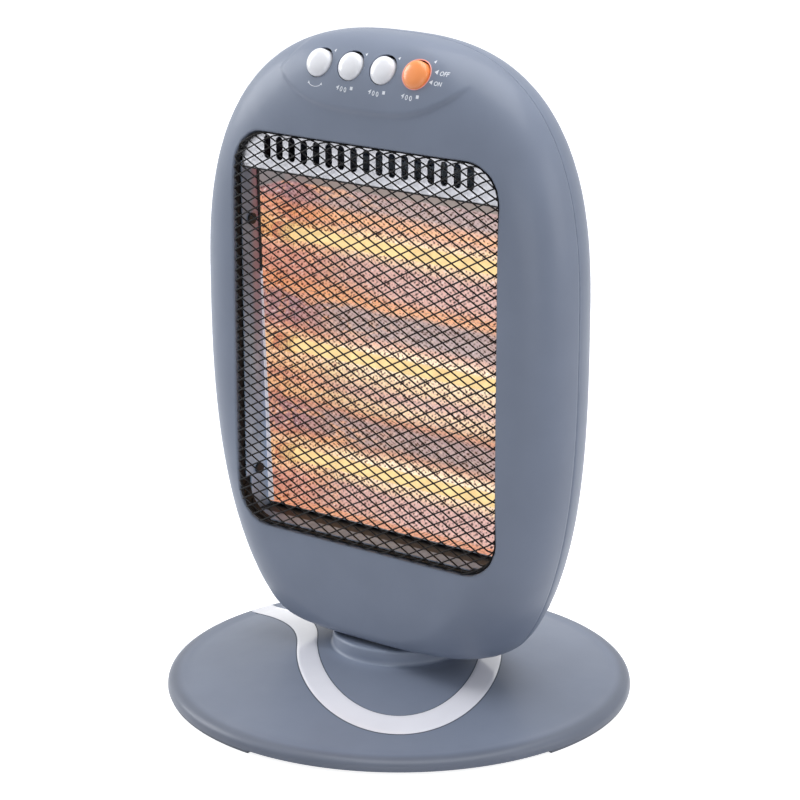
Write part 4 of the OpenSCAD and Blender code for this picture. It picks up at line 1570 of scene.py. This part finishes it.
@dataclass
class Guard:
    """The black wire guard: two crossed families of wires that fold back round its rim."""

    opening: Opening = field(default_factory=Opening)
    front_y: float = -46.2
    wire_r: float = 0.56
    layer: float = 0.9
    cell_w: float = 14.4
    cell_h: float = 7.56
    inset: float = 0.9
    bend: float = 4.4
    depth: float = 7.4
    # The rim band's section: distance outside the opening's edge, and depth
    section: tuple[tuple[float, float], ...] = (
        *((-0.45, -40.4), (-0.35, -40.9), (-0.6, -41.2), (-1.2, -41.2), (-1.5, -40.9)),
        *((-1.5, -32.9), (-1.2, -32.4), (-0.6, -32.4), (-0.35, -32.9), (-0.35, -40.4)),
    )

    def build(self) -> None:
        """Builds the net and the rim band."""
        slope, mid = self.cell_h / self.cell_w, self.opening.mid
        count = int(2 * (self.opening.high - mid + self.opening.half * slope) / self.cell_h) + 1
        heights = [mid + (k + 0.5) * self.cell_h for k in range(-count // 2, count // 2 + 1)]
        for name, side, layer, nodes in (
            ("guard_wires_rising", 1, 0.0, ["guard_net"]),
            ("guard_wires_falling", -1, self.layer, []),
        ):
            runs = [self._wire(side * slope, z, layer) for z in heights]
            piece = tube(name, [run for run in runs if len(run) > 3], self.wire_r, "black_wire")
            fit(piece, "head", "black_wire", *nodes)
        self._band()

    def _wire(self, slope: float, z: float, layer: float) -> list[Vector]:
        """Gives the places of one wire, folded back where it meets the rim.

        Args:
            slope: Its rise for each millimetre across.
            z: Its height at the middle.
            layer: How far behind the front layer it lies.

        Returns:
            Its places from rim to rim.
        """
        front, r = self.front_y + layer, self.bend - layer
        fold = self.bend * QUARTER
        end = fold + self.depth
        run: list[Vector] = []
        for x in steps(-self.opening.half - 12, self.opening.half + 12, 640):
            at = z + slope * x
            past = self.opening.distance(x, at) + self.inset + self.bend
            if past > end:
                continue
            if past <= 0:
                if len(run) > 1 and run[-2].y == run[-1].y < front + 0.001:
                    run.pop()
                run.append(Vector((x, front, at)))
                continue
            normal = self.opening.slope(x, at)
            a = min(past / self.bend, QUARTER)
            place = Vector((x, 0, at)) - normal * past + normal * r * math.sin(a)
            if past < fold:
                place.y = front + r * (1 - math.cos(a))
            else:
                place.y = self.front_y + self.bend + past - fold
            run.append(place)
        return run

    def _band(self) -> None:
        """Builds the flat band that holds the wires' ends, with rounded edges."""
        bench, mid = Bench(), self.opening.mid
        turns = steps(0, math.tau, 180)[:-1]
        far = [Vector((200 * math.cos(a), 0, mid + 240 * math.sin(a))) for a in turns]
        rings = []
        for out, y in self.section + self.section[:1]:
            places = (self.opening.towards(p, out) for p in far)
            rings.append([Vector((x, y, z)) for x, z in places])
        bench.sweep(rings)
        bench.weld()
        fit(bench.object("guard_band", ["black_wire"]), "head", "black_wire", "guard_frame")


@dataclass
class HeatUnit:
    """The dimpled reflector with its flanges, and the glowing coils in their tubes."""

    half: float = 112.4
    front_y: float = -11.0
    trough_y: float = 20.0
    trough_r: float = 62.0
    heights: tuple[float, ...] = (325.0, 241.0, 157.0)
    pitch: float = 84.0
    top: float = 375.0
    foot: tuple[tuple[float, float], ...] = ((3.6, 119.0), (-11.0, 120.2))
    step: float = 1.5
    dimple: float = 0.34
    plain_from: tuple[float, float] = (358.5, 361.5)
    ridge_fade: tuple[float, float] = (1.5, 6.0)
    sheet_t: float = 0.8
    end_t: float = 0.4
    coil_r: float = 1.15
    coil_wire_r: float = 0.24
    coil_pitch: float = 1.7
    coil_half: float = 93.0
    edge_low: float = -12.5
    edge_high: float = -20.0
    flange_low: float = 121.5
    flange_high: float = 300.0
    flange_w: float = 2.0
    flange_flare: float = 3.6
    flange_t: float = 0.5
    seam_r: float = 1.15
    # Place and radius of the black rod that paints the shaded gap under the vent panel
    trim: Triple = (111.8, -37.5, 378.2)
    vent_gap_rod_r: float = 0.5

    def build(self) -> None:
        """Builds the reflector, its flanges and the coils."""
        self._reflector()
        for side in Side:
            self._end(side)
        for side in Side:
            self._flange(side)
        # A black rod under the vent panel paints the shade of the gap there
        x, y, z = self.trim
        run = [Vector((side.value * x, y, z)) for side in Side]
        fit(tube("vent_gap_shade_rod", [run], self.vent_gap_rod_r, "black_plastic", 2), "head", "black_plastic")
        for name, z in zip(("upper", "middle", "lower"), self.heights):
            self._coil(name, z)

    def _profile(self) -> list[tuple[float, float]]:
        """Gives the reflector's section.

        Returns:
            Evenly spaced (y, z) places from the top down.
        """
        half = math.asin(self.pitch / 2 / self.trough_r)
        corners = [(self.front_y, self.top)]
        for z in self.heights:
            for a in steps(half, -half, 60):
                y = self.trough_y - self.trough_r * (1 - math.cos(a))
                corners.append((y, z + self.trough_r * math.sin(a)))
        corners += self.foot
        places = corners[:1]
        for (y, z), (to_y, to_z) in zip(corners, corners[1:]):
            count = max(1, round(math.dist((y, z), (to_y, to_z)) / self.step))
            shares = range(1, count + 1)
            places += [(y + (to_y - y) * i / count, z + (to_z - z) * i / count) for i in shares]
        return places

    @staticmethod
    def _wave(across: float, row: float) -> float:
        """Gives a dimple's height, -1 to 1, from a distance across and a count of rows down."""
        turns = across / DIMPLE_W + 0.5 * (round(row) % 2)
        return math.cos(math.tau * turns) * math.cos(math.tau * row)

    def _reflector(self) -> None:
        """Builds the reflector as a grid laid on its section and pressed into dimples."""
        places = self._profile()
        columns, rows = round(2 * self.half / self.step), len(places) - 1
        ridges = [(low + high) / 2 for high, low in zip(self.heights, self.heights[1:])]

        def pressed(across: float, down: float) -> Vector:
            """Gives the place of a corner, whose dimple fades at the rims and the ridges.

            Args:
                across: Its first coordinate in the grid.
                down: Its second coordinate in the grid.

            Returns:
                The place.
            """
            i, j = round((across + 1) / 2 * columns), round((down + 1) / 2 * rows)
            y, z = places[j]
            before, after = places[max(j - 1, 0)], places[min(j + 1, rows)]
            along = Vector((0, after[0] - before[0], after[1] - before[1])).normalized()
            x = -self.half + 2 * self.half * i / columns
            rim = min(i, columns - i, j, rows - j) * (1 - ease(z, *self.plain_from))
            rim *= ease(min(abs(z - ridge) for ridge in ridges), *self.ridge_fade)
            height = self.dimple * self._wave(x, j * self.step / DIMPLE_H) * min(rim / 3, 1.0)
            return Vector((x, y, z)) + Vector((0, along.z, -along.y)) * height

        bench = Bench()
        bench.sheet(columns, rows, pressed)
        bench.face(FORWARD)
        finishes = ["mirror_sheet", "galvanised"]
        piece = bench.object("reflector_sheet", finishes, SHEET_SHARP, self.sheet_t)
        fit(piece, "head", "mirror_sheet", "reflector")

    def _front_edge(self, z: float) -> float:
        """Gives how far forward an end plate reaches at a height."""
        low = self.foot[0][1]
        return self.edge_low + (self.edge_high - self.edge_low) * (z - low) / (self.top - low)

    def _end(self, side: Side) -> None:
        """Builds a dimpled plate that closes the reflector's end.

        Args:
            side: The side.
        """
        places = self._profile()
        rows = len(places) - 1

        def pressed(across: float, down: float) -> Vector:
            """Gives the place of a corner.

            Args:
                across: Its first coordinate in the grid.
                down: Its second coordinate in the grid.

            Returns:
                The place.
            """
            depth, z = places[round((down + 1) / 2 * rows)]
            front = self._front_edge(z)
            y = front + (across + 1) / 2 * (depth - 0.6 - front)
            height = self.dimple * 0.6 * self._wave(y, z / DIMPLE_H)
            return Vector((side.value * (self.half - 0.9 - height), y, z))

        bench = Bench()
        bench.sheet(24, rows, pressed)
        bench.face(Vector((-side.value, 0, 0)))
        name, finishes = side.name.lower() + "_reflector_end", ["mirror_end", "galvanised"]
        fit(bench.object(name, finishes, SHEET_SHARP, self.end_t), "head", "mirror_sheet")

    def _flange(self, side: Side) -> None:
        """Builds the tapered strip down a front corner of the reflector, and above it a black rod
        that paints the shaded gap there.

        Args:
            side: The side.
        """
        x, low, high = self.half + 0.7, self.flange_low, self.flange_high

        def tapered(across: float, down: float) -> Vector:
            """Gives the place of a corner.

            Args:
                across: Its first coordinate in the grid.
                down: Its second coordinate in the grid.

            Returns:
                The place.
            """
            share = (1 - down) / 2
            width = self.flange_w + self.flange_flare * share**1.5
            z = high - (high - low) * share
            inner = x - width * (across + 1) / 2
            return Vector((side.value * inner, self._front_edge(z) - 0.6, z))

        bench, name = Bench(), side.name.lower() + "_reflector"
        bench.sheet(3, 40, tapered)
        bench.face(FORWARD)
        # Its finish paints the tubes' glow on it as a reflection
        piece = bench.object(name + "_flange", ["flange_sheet"], wall=self.flange_t)
        fit(piece, "head", "vent_sheet")
        # The black rod above the strip paints the shade of the gap up the corner
        at = side.value * (x - 0.9)
        run = [Vector((at, self._front_edge(z) - 0.4, z)) for z in (high - 2, self.top - 1)]
        fit(tube(name + "_seam", [run], self.seam_r, "black_plastic"), "head", "black_plastic")

    def _coil(self, name: str, z: float) -> None:
        """Builds one wound coil in place of its plain filament.

        Args:
            name: Which tube it is in.
            z: The tube's height.
        """
        turns = 2 * self.coil_half / self.coil_pitch
        count = int(turns * 9)
        run = []
        for i in range(count + 1):
            y, up = polar(self.coil_r, math.tau * turns * i / count)
            run.append(Vector((-self.coil_half + 2 * self.coil_half * i / count, y, z + up)))
        piece = tube(f"{name}_coil", [run], self.coil_wire_r, "filament", 0)
        fit(piece, "head", "filament", f"{name}_filament")


# Base


@dataclass(frozen=True)
class StripEdge:
    """One side of the strip, a path from the front's middle to the rear rim."""

    half: float
    front: float
    flare_from: float
    flare_r: float
    grow: float
    centre_back: float = 5.0
    flare_turn: float = math.radians(72)
    blend: float = 0.04

    def at(self, s: float) -> Vector:
        """Gives a place of the path.

        Args:
            s: How far along it is, from 0 to 2: 1 is where the ellipse meets the flare.

        Returns:
            The place.
        """
        middle = self.flare_from - self.centre_back
        if s <= 1:
            a, reach = -QUARTER * (1 - s), self.front + middle
            out = Vector((self.half * math.cos(a), middle + reach * math.sin(a)))
            normal = Vector((math.cos(a) / self.half, math.sin(a) / reach)).normalized()
        else:
            x, y = polar(self.flare_r, self.flare_turn * (s - 1))
            out = Vector((self.half + self.flare_r - x, self.flare_from + y))
            if s < 1 + self.blend:
                out.y -= (self.flare_from - middle) * (1 + self.blend - s) / self.blend
            normal = Vector((x, -y)) / self.flare_r
        return out + normal * self.grow


@dataclass
class Base:
    """The round base: its domed cover with the neck, its feet and the pale inlaid strip."""

    turn: float = math.radians(37.6)
    r: float = 170.0
    rim_round: float = 15.0
    rim_power: float = 2.8
    rim_h: float = 11.0
    foot_h: float = 2.5
    neck_r: float = 48.5
    neck_h: float = 42.0
    neck_round: float = 2.2
    dome_h: float = 31.0
    bore_r: float = 20.0
    bore_h: float = 10.0
    land_r: float = 23.0
    land_t: float = 3.0
    wall: float = 2.5
    fillet: float = 2.6
    rise: float = 0.6
    groove_shade_w: float = 0.85
    groove_shade_rise: float = 0.12
    crown: float = 0.35
    foot_arcs: tuple[tuple[float, float], ...] = (
        *((-167, -128.5), (-51.5, -13), (13, 51.5), (128.5, 167)),
    )
    foot_in: float = 156.0
    foot_out: float = 169.2

    def build(self) -> None:
        """Builds the cover, the feet, the strip and the dark ribbon of painted shade round it."""
        self._cover()
        self._feet()
        self._strip("inlaid_strip", "strip", 0.0, self.rise, "base_strip")
        # A dark ribbon under the strip's edges paints the shade of a groove round it
        self._strip("strip_groove_shade", "seal", self.groove_shade_w, self.groove_shade_rise)

    def surface(self, r: float) -> float:
        """Gives the height of the cover's top.

        Args:
            r: Distance from the middle.

        Returns:
            The height.
        """
        rim, power = self.r - self.rim_round, self.rim_power
        if r <= rim:
            return self.rim_h + (self.dome_h - self.rim_h) * (rim - r) / (rim - self.neck_r)
        across = min((r - rim) / self.rim_round, 1.0)
        return self.foot_h + (self.rim_h - self.foot_h) * (1 - across**power) ** (1 / power)

    def _cover(self) -> None:
        """Builds the cover and neck as one spun section."""
        n, top, soft, edge = self.neck_r, self.neck_h, self.fillet, self.neck_round
        rim, high, wall = self.r - self.rim_round, self.rim_h - self.foot_h, self.wall
        foot = self.surface(n + soft)
        profile = [(self.bore_r, top - self.bore_h)]
        profile += [(r, top) for r in (self.bore_r, 34.0, 40.0, n - 3.2)]
        for a in steps(0, QUARTER, 5):
            profile.append((n - edge + edge * math.sin(a), top - edge + edge * math.cos(a)))
        profile.append((n, foot + soft + 2.0))
        for a in steps(0.1, QUARTER, 5):
            profile.append((n + soft - soft * math.cos(a), foot + soft - soft * math.sin(a)))
        profile += [(r, self.surface(r)) for r in steps(n + soft + 2.5, rim, 26)]
        for a in steps(QUARTER, 0.0, 22)[1:]:
            out, up = (abs(share) ** (2 / self.rim_power) for share in polar(1.0, a))
            profile.append((rim + self.rim_round * out, self.foot_h + high * up))
        inner = self.rim_round - wall
        profile.append((rim + inner, self.foot_h))
        for a in steps(0.2, QUARTER, 6):
            profile.append((rim + inner * math.cos(a), self.foot_h + (high - wall) * math.sin(a)))
        under = top - self.land_t
        profile += [(n - wall, self.surface(n) - wall), (n - wall, under), (self.land_r, under)]
        profile.append((self.land_r, top - self.bore_h))
        bench = Bench()
        bench.lathe(profile, 288, True)
        fit(bench.object("base_cover_moulding", ["base_shell"]), "base", "shell", "base_cover")

    def _feet(self) -> None:
        """Builds the four curved skirts that carry the rim, each with rounded lower edges."""
        bench = Bench()
        n, w, h = self.foot_in, self.foot_out, self.foot_h + 0.2
        section = [(n, h), (n, 0.6), (n + 0.6, 0.0), (w - 0.7, 0.0), (w - 0.2, 0.2)]
        section += [(w, 0.7), (w, h)]
        for low, high in self.foot_arcs:
            before = set(bench.bm.faces)
            turns = [math.radians(a) + self.turn for a in steps(low, high, 28)]
            rings = [[Vector((*polar(r, a), z)) for r, z in section] for a in turns]
            edges = bench.ring(rings[0])
            bmesh.ops.edgeloop_fill(bench.bm, edges=edges)
            for places in rings[1:]:
                edges = bench.grow(edges, places)
            bmesh.ops.edgeloop_fill(bench.bm, edges=edges)
            fresh = [f for f in bench.bm.faces if f not in before]
            bmesh.ops.recalc_face_normals(bench.bm, faces=fresh)
        piece = bench.object("foot_skirts", ["foot_skirt"])
        fit(piece, "base", "dark_plastic", "base_feet")

    def _strip(self, name: str, finish: str, grow: float, rise: float, *nodes: str) -> None:
        """Lays a strip between its two edges on the cover's top.

        Args:
            name: The piece's name.
            finish: Its finish.
            grow: How much wider than the strip it is on each side.
            rise: How far it stands proud.
            nodes: The CAD nodes that it stands for.
        """
        inner = StripEdge(60.5, 112.0, 15.0, 185.0, -grow)
        outer = StripEdge(75.0, 134.0, 5.0, 175.0, grow)
        limit = self.r - self.rim_round / 2 + grow
        # Each edge runs as far along its path as the other one needs to reach the limit
        inner_end, outer_end = (
            bisect(lambda s, path=path: path.at(s).length < limit, 1.0, 2.0)
            for path in (outer, inner)
        )

        def laid(side: float, across: float) -> Vector:
            """Gives the place of a corner.

            Args:
                side: Its share of the way from the front's middle to the rear rim, with a sign.
                across: Its place between the edges, -1 to 1.

            Returns:
                The place.
            """
            near, far = inner.at(abs(side) * inner_end), outer.at(abs(side) * outer_end)
            flat = near.lerp(far, (across + 1) / 2)
            if abs(side) > 0.999:
                flat = flat.normalized() * limit
            drop = self.crown * abs(across) ** 14 * min(rise / self.rise, 1)
            height = self.surface(flat.length) + rise - drop
            return Vector((math.copysign(flat.x, side), flat.y, height))

        bench = Bench()
        bench.sheet(220, 12, laid)
        bmesh.ops.remove_doubles(bench.bm, verts=bench.bm.verts, dist=1e-4)
        bench.face(UP)
        bench.turn(Matrix.Rotation(self.turn, 4, "Z"))
        piece = bench.object(name, [finish], wall=rise + 1.0)
        fit(piece, "base", "strip" if nodes else "dark_plastic", *nodes)


# Studio


@dataclass
class Studio:
    """The camera, the lamps, the white surroundings and the floor."""

    eye: Triple = (1.1411, -1.4860, 0.7690)
    turn: Triple = (math.radians(73.55), 0.0, math.radians(37.50))
    lens: float = 122.81
    sensor: float = 36.0
    # The floor, in millimetres: half its width, and how far it lies under the object
    floor_half: float = 14000.0
    floor_drop: float = 0.2

    # For each lamp: name, place, aim, size, power and colour, in metres and watts
    LAMPS = (
        ("top", (0.18, 0.15, 1.75), (0, 0, 0.2), 1.5, 23.0, (0.97, 0.98, 1.0)),
        ("left", (-1.8, -0.45, 1.05), (0, 0, 0.35), 1.1, 19.6, (0.95, 0.97, 1.0)),
        ("right", (1.75, 0.55, 0.75), (0, 0, 0.25), 1.1, 7.6, (0.97, 0.97, 1.0)),
        ("front", (0.95, -1.7, 0.25), (0, 0, 0.2), 1.2, 6.4, (0.97, 0.98, 1.0)),
    )

    def build(self) -> None:
        """Builds the whole studio."""
        scene = bpy.context.scene
        scene.view_settings.view_transform = "Standard"
        data = bpy.data.cameras.new("view")
        data.lens, data.sensor_width = self.lens, self.sensor
        scene.camera = link("view", data)
        scene.camera.location, scene.camera.rotation_euler = self.eye, self.turn
        self._world()
        self._floor()
        for name, at, aim, size, power, colour in self.LAMPS:
            data = bpy.data.lights.new(name, "AREA")
            data.size, data.energy, data.color = size, power, colour
            lamp = link(name, data)
            lamp.location = at
            lamp.rotation_euler = (Vector(aim) - Vector(at)).to_track_quat("-Z", "Y").to_euler()

    @staticmethod
    def _seen(graph: Graph) -> Sock:
        """Gives 1 for rays that see the surroundings directly, by gloss or through glass.

        Args:
            graph: The graph that it is built in.

        Returns:
            The value.
        """
        path = graph.tree.nodes.new("ShaderNodeLightPath")
        kinds = ("Is Camera Ray", "Is Glossy Ray", "Is Transmission Ray")
        camera, glossy, through = (Sock(graph, path.outputs[kind]) for kind in kinds)
        return camera.greatest(glossy).greatest(through)

    def _world(self) -> None:
        """Makes the surroundings white to look at and a soft cool light otherwise."""
        world = bpy.data.worlds.new("studio")
        bpy.context.scene.world = world
        graph = Graph(world)
        white, soft = (
            graph.node("ShaderNodeBackground", None, {"Color": colour, "Strength": strength})
            for colour, strength in ((WHITE, 1.0), ((0.88, 0.94, 1.0, 1), 0.36))
        )
        both = graph.node("ShaderNodeMixShader", None, {0: self._seen(graph), 1: soft, 2: white})
        graph.node("ShaderNodeOutputWorld", None, {"Surface": both})

    def _floor(self) -> None:
        """Lays a white floor that keeps the object's shadow faintly."""
        graph = Graph(bpy.data.materials.new("studio_floor"))
        plain, dull = (
            graph.node("ShaderNodeBsdfDiffuse", None, {"Color": colour})
            for colour in ((0.8, 0.8, 0.82, 1), (0.42, 0.42, 0.44, 1))
        )
        bright = graph.node("ShaderNodeEmission", None, {"Color": WHITE, "Strength": 0.86})
        both = graph.node("ShaderNodeAddShader", None, {0: plain, 1: bright})
        shown = graph.node("ShaderNodeMixShader", None, {0: self._seen(graph), 1: dull, 2: both})
        graph.node("ShaderNodeOutputMaterial", None, {"Surface": shown})
        bench = Bench()
        bmesh.ops.create_grid(bench.bm, x_segments=1, y_segments=1, size=self.floor_half)
        bench.turn(Matrix.Translation((0, 0, -self.floor_drop)))
        floor = bench.object("studio_floor", ["print"])
        floor.data.materials[0] = graph.owner


def dress_frame() -> None:
    """Gives every CAD node the finish of its material slot."""
    for name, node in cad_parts.items():
        for i, slot in enumerate(node.material_slots):
            finish = FINISHES[LIT_NODES.get(name, slot.material.name.split(".")[0])]
            node.data.materials[i] = finish.material()
        LOG.info("%s keeps its CAD shape unless a piece stands for it", name)


def main() -> None:
    """Builds the looks in order, from the frame's own nodes to the studio."""
    logging.basicConfig(level=logging.INFO, format="%(message)s")
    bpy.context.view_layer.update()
    dress_frame()
    skin = Shells().build()
    for part in (Buttons(skin), Guard(), HeatUnit(), Base(), Studio()):
        part.build()


if __name__ == "__main__":
    main()
